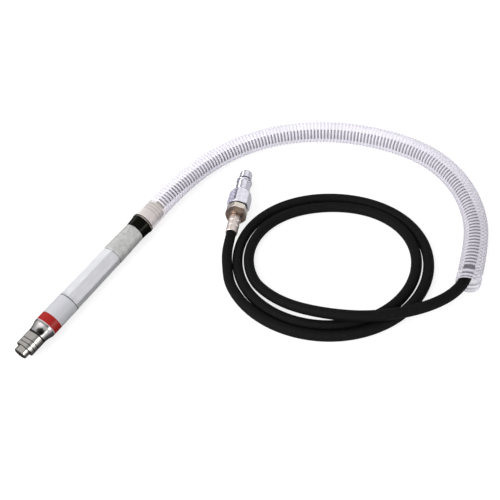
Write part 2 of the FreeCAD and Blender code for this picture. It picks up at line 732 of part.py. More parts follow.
def tangent_path(points, label):
    """Straight runs joined by tangent arcs, as large as their two runs allow, as a list of edges."""
    corners = [Vector(*p) for p in points]
    edges = []
    radii = []
    here = corners[0]
    for before, corner, after in zip(corners, corners[1:], corners[2:]):
        u = unit(corner - before)
        v = unit(after - corner)
        turn = math.acos(max(-1.0, min(1.0, u.dot(v))))
        reach = 0.45 * min((corner - before).Length, (after - corner).Length)
        radius = reach / math.tan(turn / 2)
        radii.append(round(radius, 1))
        first = corner - u * reach
        last = corner + v * reach
        inward = unit(v - u)
        middle = corner + inward * radius * (1 / math.cos(turn / 2) - 1)
        edges.append(Part.makeLine(here, first))
        edges.append(Part.Arc(first, middle, last).toShape())
        here = last
    edges.append(Part.makeLine(here, corners[-1]))
    print(label, "bend radii", radii)
    return edges


def swept(edges, radius, bore=0.0):
    """A round tube along the edges of a smooth path."""
    path = Part.Wire(edges)
    start = edges[0].valueAt(edges[0].FirstParameter)
    along = edges[0].tangentAt(edges[0].FirstParameter)
    profile = Part.Wire(Part.makeCircle(radius, start, along))
    shell = Part.BRepOffsetAPI.MakePipeShell(path)
    shell.add(profile)
    shell.build()
    shell.makeSolid()
    solid = shell.shape()
    solid = solid if solid.ShapeType == "Solid" else solid.Solids[0]
    length = sum(edge.Length for edge in edges)
    share = solid.Volume / (math.pi * radius * radius * length)
    print("tube length", round(length, 1), "volume over section times length", round(share, 4))
    return solid


def along_path(edges, distances):
    """(point, tangent) at each distance along a list of edges."""
    found = []
    index = 0
    passed = 0.0
    for distance in distances:
        while index < len(edges) - 1 and distance > passed + edges[index].Length:
            passed += edges[index].Length
            index += 1
        edge = edges[index]
        inside = min(max(distance - passed, 0.0), edge.Length)
        parameter = edge.getParameterByLength(inside)
        found.append((edge.valueAt(parameter), unit(edge.tangentAt(parameter))))
    return found


def steady_circle(point, tangent, radius):
    """A circle square to the tangent whose X axis lies level, so that lofts don't twist."""
    side = unit(Vector(0, 0, 1).cross(tangent))
    circle = Part.Circle(point, tangent, radius)
    circle.XAxis = side
    return Part.Wire(circle.toShape())


def ruled_hose(edges, stations):
    """A ruled loft through circles at (distance, radius) stations along a path."""
    spots = along_path(edges, [s for s, _ in stations])
    wires = [steady_circle(p, t, r) for (p, t), (_, r) in zip(spots, stations)]
    return Part.makeLoft(wires, True, True)


def exhaust_edges():
    """The centreline of the exhaust hose."""
    return tangent_path(EXHAUST_ROUTE, "exhaust hose")


def make_exhaust_hose():
    """Milky hose: smooth cuff over the spigot, ribs, a wider groove, two last ribs and a plain end."""
    edges = exhaust_edges()
    length = sum(edge.Length for edge in edges)
    end_ribs = length - PLAIN_END
    pitch = (end_ribs - CUFF_LENGTH - END_GROOVE) / RIB_COUNT
    cuff_r = FLANGE_R - CUFF_STEP
    outside = [(0.0, cuff_r), (1.2, cuff_r), (CUFF_LENGTH - 1.0, EXHAUST_R + 0.05)]
    position = CUFF_LENGTH
    for k in range(RIB_COUNT):
        if k == RIB_COUNT - END_RIBS:
            position += END_GROOVE
        flank = pitch * (1 - CREST_SHARE) / 2
        if not outside or outside[-1][0] < position - 1e-6:
            outside.append((position, ROOT_R))
        outside.append((position + flank, EXHAUST_R))
        outside.append((position + pitch - flank, EXHAUST_R))
        outside.append((position + pitch, ROOT_R))
        position += pitch
    outside += [(length - PLAIN_END + 0.6, PLAIN_R), (length, PLAIN_R)]
    cuff_bore = SPIGOT_R + RIDGE_HEIGHT + RUN_FIT
    bore_start = CUFF_LENGTH - 0.5
    inside = [(0.0, cuff_bore), (bore_start - 1.0, cuff_bore), (bore_start, EXHAUST_BORE_R)]
    for k in range(1, BORE_STEPS + 1):
        inside.append((bore_start + (length - bore_start) * k / BORE_STEPS, EXHAUST_BORE_R))
    return ruled_hose(edges, outside).cut(ruled_hose(edges, inside))


def air_run_points():
    """Corners of the air hose inside the exhaust hose: drawn to the inside of its bend and low."""
    corners = [Vector(*p) for p in EXHAUST_ROUTE]
    points = [(x_at(S_AIR_HOSE), 0.0, AXIS_Z), EXHAUST_ROUTE[1]]
    for before, corner, after in zip(corners[1:], corners[2:], corners[3:-1]):
        along = unit(after - before)
        inward = Vector(0, 0, 1).cross(along) * -1
        place = corner + inward * AIR_INSET - Vector(0, 0, AIR_DROP)
        points.append((place.x, place.y, place.z))
    return points + AIR_LAST_POINTS


def barb_space(start, direction, depth):
    """The room that a barb takes up in the end of the air hose."""
    return Part.makeCylinder(HOSE_BORE_R, depth, start, direction)


def make_air_hose_run():
    """Air hose from the nipple to the open end of the exhaust hose."""
    hose = swept(tangent_path(air_run_points(), "air hose run"), AIR_R)
    start = Vector(x_at(S_AIR_HOSE), 0, AXIS_Z)
    depth = S_SPIGOT_END - S_AIR_HOSE
    return hose.cut(barb_space(start, Vector(-1, 0, 0), depth))


def coil_point(angle):
    """A point of the coil's centreline at an angle about its centre."""
    turn = math.radians(angle)
    done = -angle / 360
    oval = COIL_OVAL - COIL_OVAL_FADE * done
    lean = math.radians(COIL_LEAN - COIL_LEAN_DRIFT * done)
    radius = COIL_R + COIL_PITCH * done + oval * math.cos(2 * turn - lean)
    radius += COIL_EGG * math.cos(3 * turn - math.radians(COIL_EGG_LEAN))
    return Vector(
        COIL_CENTRE[0] + radius * math.cos(turn), COIL_CENTRE[1] + radius * math.sin(turn), AIR_R
    )


def coil_tangent(angle):
    """The direction in which the hose runs at an angle of the coil."""
    return unit(coil_point(angle - 1) - coil_point(angle + 1))


def connector_heading():
    """The direction of the connector, from the hose to the plug's nose."""
    turn = math.radians(CONNECTOR_TURN)
    return Vector(math.cos(turn), math.sin(turn), 0)


def connector_height():
    """Height of the connector's axis: its widest hexagon just clears the floor."""
    return max(STEM_HEX, NUT_HEX) / math.sqrt(3) + 0.05


def connector_start():
    """Where the hose enters the ferrule."""
    return Vector(CONNECTOR_START[0], CONNECTOR_START[1], connector_height())


def biarc(start, leave, end, arrive):
    """Two tangent arcs from start to end that leave and arrive along the given directions."""
    chord = end - start
    both = leave + arrive
    a = 2 * (1 - leave.dot(arrive))
    b = 2 * chord.dot(both)
    c = -chord.dot(chord)
    if abs(a) < 1e-9:
        reach = -c / b
    else:
        reach = (-b + math.sqrt(b * b - 4 * a * c)) / (2 * a)
    joint = (start + leave * reach + end - arrive * reach) * 0.5
    return [tangent_arc(start, leave, joint), tangent_arc(end, arrive * -1, joint)]


def tangent_arc(start, leave, end):
    """The arc from start, along leave, to end; run backwards it arrives along the opposite way."""
    chord = end - start
    across = chord - leave * chord.dot(leave)
    if across.Length < 1e-6:
        return Part.makeLine(start, end)
    radius = chord.dot(chord) / (2 * across.Length)
    centre = start + unit(across) * radius
    middle = centre + unit((start + end) * 0.5 - centre) * radius
    if (end - start).dot(leave) < 0:
        middle = centre * 2 - middle
    return Part.Arc(start, middle, end).toShape()


def hand_stops(places):
    """(point, direction) stops at all but the first and the last of a row of points."""
    stops = []
    for before, here, after in zip(places, places[1:], places[2:]):
        stops.append((here, unit(unit(here - before) + unit(after - here))))
    return stops


def coil_stops():
    """(point, direction) stops of the coil: straight start, lead-in, turns, lead-out, straight end."""
    last_run = [Vector(*p) for p in AIR_LAST_POINTS]
    heading = unit(last_run[1] - last_run[0])
    end_of_start = last_run[1] + heading * 2 * AIR_R
    arrive = connector_heading()
    start_of_end = connector_start() - arrive * 2 * AIR_R
    inside_ferrule = connector_start() + arrive * (FERRULE_LENGTH - 1.0)
    stops = [(last_run[1], heading), (end_of_start, heading)]
    stops += hand_stops([end_of_start] + [Vector(*p) for p in LEAD_IN] + [coil_point(COIL_FROM)])
    for k in range(COIL_SPANS + 1):
        angle = COIL_FROM + (COIL_TO - COIL_FROM) * k / COIL_SPANS
        stops.append((coil_point(angle), coil_tangent(angle)))
    stops += hand_stops([coil_point(COIL_TO)] + [Vector(*p) for p in LEAD_OUT] + [start_of_end])
    return stops + [(start_of_end, arrive), (inside_ferrule, arrive)]


def coil_edges():
    """The coil's centreline: one line at each end, biarcs between."""
    stops = coil_stops()
    edges = [Part.makeLine(stops[0][0], stops[1][0])]
    for (start, leave), (end, arrive) in zip(stops[1:], stops[2:-1]):
        first, second = biarc(start, leave, end, arrive)
        edges += [first, reverse_edge(second)]
    edges.append(Part.makeLine(stops[-2][0], stops[-1][0]))
    return edges


def reverse_edge(edge):
    """The same arc or line, run from its other end."""
    first = edge.valueAt(edge.FirstParameter)
    middle = edge.valueAt((edge.FirstParameter + edge.LastParameter) / 2)
    last = edge.valueAt(edge.LastParameter)
    if edge.Curve.TypeId == "Part::GeomLine":
        return Part.makeLine(last, first)
    return Part.Arc(last, middle, first).toShape()


def least_gap(edges):
    """The least gap between the coil's hose and itself, measured on points of its centreline."""
    step = 3.0
    length = sum(edge.Length for edge in edges)
    points = [p for p, _ in along_path(edges, [k * step for k in range(int(length / step))])]
    apart = int(8 * AIR_R / step)
    least = 1e9
    for i in range(len(points)):
        for j in range(i + apart, len(points)):
            least = min(least, points[i].distanceToPoint(points[j]))
    return least - 2 * AIR_R


def make_air_hose_coil():
    """Air hose from the exhaust hose's open end, over itself, two and a half turns, to its ferrule."""
    edges = coil_edges()
    gap = least_gap(edges)
    print("coil least gap to itself", round(gap, 2), "above", LEAST_GAP, gap > LEAST_GAP)
    radii = [edge.Curve.Radius for edge in edges if edge.Curve.TypeId == "Part::GeomCircle"]
    print("coil tightest arc", round(min(radii), 1))
    hose = swept(edges, AIR_R)
    heading = connector_heading()
    barb = connector_start() + heading * 2.0
    return hose.cut(barb_space(barb, heading, FERRULE_LENGTH))


def on_connector(shape):
    """Moves a solid from station space onto the connector's axis."""
    shape.Placement = Placement(connector_start(), Rotation(Vector(0, 0, 1), CONNECTOR_TURN))
    return shape


def make_hose_ferrule():
    """Crimped sleeve at the connector's end of the hose, its rim towards the coil."""
    length = FERRULE_LENGTH
    profile = ferrule_profile(0, length, BARB_R)
    flipped = [tuple([length - p[0], p[1]]) for p in profile]
    return on_connector(revolved(flipped))


def connector_stations():
    """Stations along the connector: stem hexagon, nut, washer, plug, shoulder, neck, ring, groove, nose, end."""
    stations = [FERRULE_LENGTH]
    for length in (
        STEM_HEX_LENGTH, NUT_HEX_LENGTH, WASHER_LENGTH, PLUG_HEX_LENGTH, PLUG_SHOULDER,
        PLUG_NECK_LENGTH, PLUG_RING_LENGTH, PLUG_GROOVE_LENGTH, PLUG_NOSE_LENGTH,
    ):
        stations.append(stations[-1] + length)
    return stations


def chamfered_hex(start, end, across, turn, front=True, rear=True):
    """A hexagon with its corners turned down to a cone at the chosen ends."""
    corner = across / math.sqrt(3) + 0.1
    flat = across / 2
    drop = (corner - flat) * math.tan(math.radians(30))
    profile = [(start, 0), (start, flat if rear else corner)]
    if rear:
        profile.append((start + drop, corner))
    if front:
        profile.append((end - drop, corner))
    profile += [(end, flat if front else corner), (end, 0)]
    return hexagon(start, end, across, turn).common(revolved(profile))


def make_hose_stem():
    """Hose tail: barb in the hose, dark hexagon, and a tail that the nut turns on."""
    hex_start, nut_start, washer, plug = connector_stations()[:4]
    core = BARB_R - BARB_STEP
    shaft = revolved([
        (3.0, BARB_BORE_R), (3.0, core), (hex_start - 5.0, core), (hex_start - 5.0, BARB_R),
        (hex_start - 2.0, core), (hex_start, core), (hex_start, STEM_TAIL_R),
        (plug, STEM_TAIL_R), (plug, BARB_BORE_R),
    ])
    head = chamfered_hex(hex_start, nut_start, STEM_HEX, NUT_HEX_TURN)
    head = head.cut(rod(hex_start - 1, nut_start + 1, BARB_BORE_R))
    return on_connector(shaft.fuse(head).removeSplitter())


def make_hose_nut():
    """Bright hexagon nut on the stem."""
    start, end = connector_stations()[1:3]
    nut = chamfered_hex(start, end, NUT_HEX, NUT_HEX_TURN)
    return on_connector(nut.cut(rod(start - 1, end + 1, STEM_TAIL_R)))


def make_plug_washer():
    """Thin dark sealing ring between nut and plug."""
    start, end = connector_stations()[2:4]
    return on_connector(tube(start, end, WASHER_R, STEM_TAIL_R))


def make_coupler_plug():
    """Quick-connect plug: hexagon that runs out into the neck, ring, locking groove and rounded nose."""
    plug, shoulder, neck, ring, groove, nose, end = connector_stations()[3:]
    corner = PLUG_HEX / math.sqrt(3)
    envelope = revolved([
        (plug, 0), (plug, PLUG_HEX / 2), (plug + 0.8, corner + 0.1), (shoulder, corner + 0.1),
        (shoulder + 0.55 * PLUG_SHOULDER, corner - 1.1, neck, PLUG_NECK_R), (ring + 0.2, PLUG_NECK_R),
        (ring + 0.2, 0),
    ])
    body = hexagon(plug, ring + 0.2, PLUG_HEX, PLUG_HEX_TURN).common(envelope)
    front = revolved([
        (ring, PLUG_BORE_R), (ring, PLUG_NECK_R), (ring + 0.3, PLUG_RING_R), (groove - 0.3, PLUG_RING_R),
        (groove, PLUG_RING_R - 0.3), (groove, PLUG_GROOVE_R), (nose - 0.6, PLUG_GROOVE_R),
        (nose, PLUG_NOSE_R), (end - 3.0, PLUG_NOSE_R),
        (end - 0.9, PLUG_NOSE_R - 0.6, end, PLUG_NOSE_R - 1.6), (end, PLUG_BORE_R),
    ])
    bore = rod(plug - 1, end, PLUG_BORE_R)
    return on_connector(body.cut(bore).fuse(front).removeSplitter())


def build():
    """All nodes of the object, as {name: shape}."""
    nodes = {
        "collet_nut": make_collet_nut(),
        "collet": make_collet(),
        "spindle": make_spindle(),
        "nose_cone": make_nose_cone(),
        "nose_seal": make_nose_seal(),
        "barrel": make_barrel(),
        "bearing_spacer": make_bearing_spacer(),
        "front_plate": make_front_plate(),
        "cylinder_liner": make_liner(),
        "rotor": make_rotor(),
        "vanes": make_vanes(),
        "rear_plate": make_rear_plate(),
        "rotor_clip": make_rotor_clip(),
        "liner_pin": make_liner_pin(),
        "valve_body": make_valve_body(),
        "valve_o_rings": make_o_rings(),
        "stop_pin": make_stop_pin(),
        "throttle_ring": make_throttle_ring(),
        "rear_collar": make_rear_collar(),
        "exhaust_spigot": make_spigot(),
        "cuff_ring": make_cuff_ring(),
        "inlet_nipple": make_inlet_nipple(),
        "inlet_ferrule": make_inlet_ferrule(),
        "exhaust_hose": make_exhaust_hose(),
        "air_hose_run": make_air_hose_run(),
        "air_hose_coil": make_air_hose_coil(),
        "hose_ferrule": make_hose_ferrule(),
        "hose_stem": make_hose_stem(),
        "hose_nut": make_hose_nut(),
        "plug_washer": make_plug_washer(),
        "coupler_plug": make_coupler_plug(),
    }
    nodes.update(bearing("front_bearing", S_BEARING, FRONT_BEARING_R, JOURNAL_R))
    nodes.update(bearing("rear_bearing", S_REAR_BEARING, REAR_BEARING_R, TAIL_R))
    return nodes


os.makedirs("parts", exist_ok=True)
for name, shape in build().items():
    if not shape.isValid():
        print("not valid:", name)
    shape.exportStep("parts/" + name + ".step")
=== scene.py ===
"""Looks of a pencil air grinder with its ribbed exhaust hose and its coiled air hose.

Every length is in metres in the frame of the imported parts: the tool's axis lies along X, its nose
points to +X, and z = 0 is the table top. Finishes measure in millimetres, since their patterns have
such sizes. A station is a distance back from the front of the nut.
"""

import logging
import math
from dataclasses import dataclass, field
from enum import Enum
from typing import Any

import bpy
from mathutils import Matrix, Vector

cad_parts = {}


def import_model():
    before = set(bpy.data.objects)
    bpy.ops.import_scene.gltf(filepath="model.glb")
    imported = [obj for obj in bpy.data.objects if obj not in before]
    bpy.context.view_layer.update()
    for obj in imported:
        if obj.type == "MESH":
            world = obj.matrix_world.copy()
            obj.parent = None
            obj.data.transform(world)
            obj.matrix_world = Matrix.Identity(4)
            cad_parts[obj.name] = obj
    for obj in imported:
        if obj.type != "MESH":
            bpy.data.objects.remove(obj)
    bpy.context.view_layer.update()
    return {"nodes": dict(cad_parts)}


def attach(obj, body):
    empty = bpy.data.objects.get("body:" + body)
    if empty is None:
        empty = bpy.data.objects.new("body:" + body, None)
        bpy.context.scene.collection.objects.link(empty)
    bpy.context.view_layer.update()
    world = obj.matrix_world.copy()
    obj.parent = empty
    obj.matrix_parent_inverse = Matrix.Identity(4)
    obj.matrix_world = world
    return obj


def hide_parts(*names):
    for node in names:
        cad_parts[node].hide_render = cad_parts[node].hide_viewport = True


LOG = logging.getLogger("grinder")
MM = 0.001
HOUSING = "housing"

Point = tuple[float, float, float]
Colour = tuple[float, float, float, float]
Span = tuple[float, float]
Socket = bpy.types.NodeSocket


def linear(code: str) -> Colour:
    """Turns an sRGB hex colour into a linear one.

    Args:
        code: The colour as "#RRGGBB".

    Returns:
        Red, green, blue and an alpha of 1.
    """
    values = [int(code[i:i + 2], 16) / 255 for i in (1, 3, 5)]
    r, g, b = [v / 12.92 if v <= 0.04045 else ((v + 0.055) / 1.055) ** 2.4 for v in values]
    return (r, g, b, 1.0)


def mm(*points: Point) -> tuple[Point, ...]:
    """Returns points given in millimetres as points in metres."""
    return tuple((x * MM, y * MM, z * MM) for x, y, z in points)


@dataclass(frozen=True)
class Axis:
    """An axis in the frame of the parts.

    Attributes:
        origin: A point of the axis.
        turn: Heading of the axis about Z, in degrees.
    """

    origin: Point
    turn: float


class Line(Enum):
    """The axis that a turned or brushed finish runs round or along."""

    TOOL = Axis((0.082, 0.0, 0.00975), 180.0)
    CONNECTOR = Axis((-0.0884, 0.0725, 0.0090), -157.0)


@dataclass(frozen=True)
class ShadeLines:
    """A thin dark line laid round a joint, groove or rim: painted shade where the gap or groove
    lies in shadow.

    Attributes:
        bands: First and last station of each line.
        colour: Colour of the painted shade.
        strength: How much it hides, from 0 to 1.
        blur: How softly its edges fade, in millimetres.
    """

    bands: tuple[Span, ...] = ()
    colour: str = "#1C1A18"
    strength: float = 0.85
    blur: float = 0.08


@dataclass(frozen=True)
class PaintedReflection:
    """A soft, nearly black oval on one side of a turned piece: a painted reflection of something
    dark in the polished metal.

    Attributes:
        station: Station of its middle.
        angle: Angle of its middle up from the tool's right, in degrees.
        reach: Half its length along the axis, in millimetres.
        spread: Half its width round the axis, in degrees.
        colour: Colour of the painted reflection.
        strength: How much it hides, from 0 to 1.
        core: Share of its area at full strength.
    """

    station: float
    angle: float
    reach: float
    spread: float
    colour: str = "#1B1710"
    strength: float = 0.9
    core: float = 0.35


class Nodes:
    """A node tree that is built up node by node.

    Attributes:
        tree: The tree.
    """

    def __init__(self, tree: bpy.types.NodeTree) -> None:
        """Keeps the tree."""
        self.tree = tree

    def add(self, kind: str, inputs: dict[Any, Any] | None = None, out: int | str = 0,
            **settings: Any) -> Socket:
        """Adds a node with its settings and links.

        A map range's inputs 1 to 4 are from, from, to and to. A colour mix has its colours on 6 and
        7 and its result on 2.

        Args:
            kind: The node's type name, without its "ShaderNode" part.
            inputs: Socket name or number to a value, a hex colour or the socket that feeds it.
            out: Name or number of the output that is handed back.
            **settings: Attributes of the node.

        Returns:
            That output of the new node.
        """
        node = self.tree.nodes.new("ShaderNode" + kind)
        for name, value in settings.items():
            setattr(node, name, value)
        for name, value in (inputs or {}).items():
            self.feed(node.inputs[name], value)
        return node.outputs[out]

    def feed(self, socket: Socket, value: Any) -> None:
        """Gives a socket its value or its link.

        Args:
            socket: The input socket.
            value: A value, a hex colour or the socket that feeds it.
        """
        if isinstance(value, bpy.types.NodeSocket):
            self.tree.links.new(value, socket)
        else:
            socket.default_value = linear(value) if isinstance(value, str) else value


class Recipe(Nodes):
    """A new material with its surface shader and the patterns that finishes share.

    Attributes:
        material: The material.
        shader: Its surface shader.
        axis: The axis that places on the piece are measured along.
    """

    def __init__(self, name: str, line: Line) -> None:
        """Makes the material with a bare surface shader.

        Args:
            name: The material's name.
            line: The axis that places on the piece are measured along.
        """
        self.material = bpy.data.materials.new(name)
        self.material.use_nodes = True
        super().__init__(self.material.node_tree)
        self.shader = self.tree.nodes["Principled BSDF"]
        self.axis = line.value

    def surface(self, **values: Any) -> None:
        """Feeds the surface shader.

        Args:
            **values: Input name, with an underscore for a space, to what it gets.
        """
        for name, value in values.items():
            self.feed(self.shader.inputs[name.replace("_", " ")], value)

    def place(self) -> Socket:
        """Measures along and about the axis.

        Returns:
            The place in millimetres; its x is the station.
        """
        where = self.add("TexCoord", out="Object")
        moved = self.add("VectorMath", {0: where, 1: self.axis.origin}, operation="SUBTRACT")
        turned = self.add("Mapping", {"Vector": moved,
                                      "Rotation": (0, 0, math.radians(-self.axis.turn))})
        return self.add("VectorMath", {0: turned, "Scale": 1 / MM}, operation="SCALE")

    def along(self) -> Socket:
        """Returns the distance along a hose, in millimetres, from its layout."""
        return self.add("SeparateXYZ", {0: self.add("UVMap", uv_map=Tube.LAYOUT)}, "Y")

    def band(self, station: Socket, span: Span, blur: float = 0.06) -> Socket:
        """Returns 1 within a span of stations and 0 elsewhere.

        Args:
            station: The station of the shaded point.
            span: First and last station of the band.
            blur: How softly its edges fade, in millimetres.

        Returns:
            The band's share.
        """
        middle, half = sum(span) / 2, (span[1] - span[0]) / 2
        away = self.add("Math", {0: station, 1: middle}, operation="SUBTRACT")
        away = self.add("Math", {0: away}, operation="ABSOLUTE")
        return self.add("MapRange", {0: away, 1: half - blur, 2: half + blur, 3: 1.0, 4: 0.0})

    def layered(self, colour: Socket | str, *layers: tuple[Socket, Socket | str]) -> Socket:
        """Lays colours over another in turn.

        Args:
            colour: The lowest colour.
            *layers: Share and colour of each layer.

        Returns:
            The colour that shows.
        """
        for share, over in layers:
            colour = self.add("Mix", {0: share, 6: colour, 7: over}, 2, data_type="RGBA")
        return colour

    def shade_lined(self, colour: Socket, station: Socket, shade_lines: ShadeLines) -> Socket:
        """Lays painted shade lines over a colour.

        Args:
            colour: The clean colour.
            station: The station of the shaded point.
            shade_lines: The painted shade lines.

        Returns:
            The colour with the painted shade lines on it.
        """
        # Painted shade: each band darkens the colour where a joint or groove lies in shadow.
        for span in shade_lines.bands:
            share = self.add("Math", {0: self.band(station, span, shade_lines.blur), 1: shade_lines.strength},
                             operation="MULTIPLY")
            colour = self.layered(colour, (share, shade_lines.colour))
        return colour

    def with_dark_reflection(self, colour: Socket, place: Socket, dark_reflection: PaintedReflection) -> Socket:
        """Lays a painted dark reflection over a colour.

        Args:
            colour: The clean colour.
            place: Place along and about the axis.
            dark_reflection: The painted reflection.

        Returns:
            The colour with the painted reflection on it.
        """
        parts = self.add("SeparateXYZ", {0: place}).node.outputs
        right = self.add("Math", {0: parts["Y"], 1: -1.0}, operation="MULTIPLY")
        angle = self.add("Math", {0: parts["Z"], 1: right}, operation="ARCTAN2")
        squares = []
        for value, middle, half in ((parts["X"], dark_reflection.station, dark_reflection.reach),
                                    (angle, math.radians(dark_reflection.angle), math.radians(dark_reflection.spread))):
            value = self.add("Math", {0: value, 1: middle}, operation="SUBTRACT")
            value = self.add("Math", {0: value, 1: half}, operation="DIVIDE")
            squares.append(self.add("Math", {0: value, 1: value}, operation="MULTIPLY"))
        far = self.add("Math", dict(enumerate(squares)), operation="ADD")
        oval = self.add("MapRange", {0: far, 1: dark_reflection.core, 2: 1.0, 3: 1.0, 4: 0.0})
        share = self.add("Math", {0: oval, 1: dark_reflection.strength}, operation="MULTIPLY")
        return self.layered(colour, (share, dark_reflection.colour))


@dataclass(frozen=True)
class Finish:
    """What a surface is made of and how it was made.

    Attributes:
        name: Name of the material.
        line: The axis that its pattern runs round or along.
    """

    name: str
    line: Line = Line.TOOL

    def build(self) -> bpy.types.Material:
        """Makes the finish.

        Returns:
            The material.
        """
        recipe = Recipe(self.name, self.line)
        self.lay(recipe)
        return recipe.material

    def lay(self, recipe: Recipe) -> None:
        """Lays the finish on a bare shader, each in its own way.

        Args:
            recipe: The recipe of its material.
        """
        raise NotImplementedError


@dataclass(frozen=True)
class TurnedMetal(Finish):
    """Steel or brass turned on a lathe: fine rings that draw reflections out along the axis.

    Attributes:
        colour: Colour of the clean metal.
        shade: Colour in the duller patches.
        roughness: Roughness of the bright patches.
        dulled: Roughness that the dull patches add.
        handled: Size of the marks that hands leave, in millimetres.
        ring_pitch: Distance between tool marks, in millimetres.
        ring_depth: Depth of the tool marks, in millimetres.
        shade_lines: Painted shade in its joints and grooves.
        dark_reflection: A painted dark reflection on one side of it.
    """

    colour: str = "#D9CFC9"
    shade: str = "#BCAFA8"
    roughness: float = 0.25
    dulled: float = 0.07
    handled: float = 2.6
    ring_pitch: float = 0.25
    ring_depth: float = 0.004
    shade_lines: ShadeLines = ShadeLines()
    dark_reflection: PaintedReflection | None = None

    def lay(self, recipe: Recipe) -> None:
        """Lays tool marks, handling, painted shade lines and a painted dark reflection on the
        metal.

        Args:
            recipe: The recipe of its material.
        """
        place = recipe.place()
        station = recipe.add("SeparateXYZ", {0: place}, "X")
        rings = recipe.add("TexNoise", {"W": station, "Scale": 1 / self.ring_pitch, "Detail": 3.0,
                                        "Roughness": 0.6}, noise_dimensions="1D")
        marks = recipe.add("TexNoise", {"Vector": place, "Scale": 1 / self.handled, "Detail": 3.0})
        dull = recipe.add("MapRange", {0: marks, 1: 0.35, 2: 0.7, 4: 0.6})
        metal = recipe.layered(self.colour, (dull, self.shade))
        # Painted reflection: a dark patch where the polished metal mirrors something dark.
        if self.dark_reflection:
            metal = recipe.with_dark_reflection(metal, place, self.dark_reflection)
        recipe.surface(
            Metallic=1.0,
            Base_Color=recipe.shade_lined(metal, station, self.shade_lines),
            Roughness=recipe.add("MapRange", {0: marks, 1: 0.3, 2: 0.75, 3: self.roughness,
                                              4: self.roughness + self.dulled}),
            Normal=recipe.add("Bump", {"Height": rings, "Distance": self.ring_depth * MM}),
        )


@dataclass(frozen=True)
class AnodisedBarrel(Finish):
    """Aluminium, bead blasted and clear anodised: an even satin with a pale, slightly blue sheen.

    Attributes:
        colour: Colour of the anodised metal.
        worn: Colour where hands have rubbed it brighter.
        scuff: Colour of small scuffs.
        label: Colour of the label's thin sheet.
        red: Colour of its band.
        ink: Colour of its border line.
        shade_lines: Painted shade where the barrel meets the ring.
        label_span: Stations of the label.
        band_span: Stations of its red band.
        border: Width of the dark line at the label's rear end, in millimetres.
        rub_size: Width of the rubbed patches, in millimetres; they are four times as long.
        scuff_size: Size of the scuffs, in millimetres.
        grain_size: Size of the blasted grain, in millimetres.
        grain_depth: Depth of that grain, in millimetres.
        metallic: How much it still mirrors as metal under its oxide; the label doesn't.
        specular: Strength of its clear skin's reflection.
        roughness: Roughness of plain and of rubbed metal.
        label_polish: How much smoother the label is.
    """

    name: str = "clear_anodised_aluminium"
    colour: str = "#CFCFD4"
    worn: str = "#D9D9DD"
    scuff: str = "#BFBFC4"
    label: str = "#C0C0C5"
    red: str = "#9C1A16"
    ink: str = "#121214"
    # Painted shade: a dark line in the shadowed joint between barrel and throttle ring.
    shade_lines: ShadeLines = ShadeLines(((104.9, 105.4),), "#3A3A3C", 0.8)
    label_span: Span = (27.0, 53.4)
    band_span: Span = (27.5, 34.7)
    border: float = 0.65
    rub_size: float = 2.2
    scuff_size: float = 0.9
    grain_size: float = 0.12
    grain_depth: float = 0.006
    metallic: float = 0.25
    specular: float = 0.3
    roughness: Span = (0.42, 0.34)
    label_polish: float = 0.05

    def lay(self, recipe: Recipe) -> None:
        """Lays the worn satin and the plain label on the barrel.

        Args:
            recipe: The recipe of its material.
        """
        place = recipe.place()
        station = recipe.add("SeparateXYZ", {0: place}, "X")
        drawn = recipe.add("VectorMath", {0: place, 1: (0.25, 1.0, 1.0)}, operation="MULTIPLY")
        rubbed = recipe.add("TexNoise", {"Vector": drawn, "Scale": 1 / self.rub_size, "Detail": 4.0,
                                         "Roughness": 0.55})
        nicks = recipe.add("TexNoise", {"Vector": place, "Scale": 1 / self.scuff_size,
                                        "Detail": 5.0, "Roughness": 0.7})
        nicks = recipe.add("MapRange", {0: nicks, 1: 0.66, 2: 0.74})
        metal = recipe.layered(
            self.colour,
            (recipe.add("MapRange", {0: rubbed, 1: 0.4, 2: 0.65}), self.worn),
            (recipe.add("Math", {0: nicks, 1: 0.5}, operation="MULTIPLY"), self.scuff),
        )
        label = recipe.band(station, self.label_span)
        end = self.label_span[1]
        plain, bright = self.roughness
        satin = recipe.add("MapRange", {0: rubbed, 1: 0.3, 2: 0.7, 3: plain, 4: bright})
        smooth = recipe.add("Math", {0: label, 1: -self.label_polish}, operation="MULTIPLY")
        grain = recipe.add("TexNoise", {"Vector": place, "Scale": 1 / self.grain_size})
        recipe.surface(
            Base_Color=recipe.layered(
                recipe.shade_lined(metal, station, self.shade_lines),
                (label, self.label),
                (recipe.band(station, self.band_span), self.red),
                (recipe.band(station, (end - self.border, end)), self.ink),
            ),
            Metallic=recipe.add("MapRange", {0: label, 3: self.metallic, 4: 0.0}),
            Specular_IOR_Level=self.specular,
            Roughness=recipe.add("Math", {0: satin, 1: smooth}, operation="ADD"),
            Normal=recipe.add("Bump", {"Height": grain, "Distance": self.grain_depth * MM}),
        )


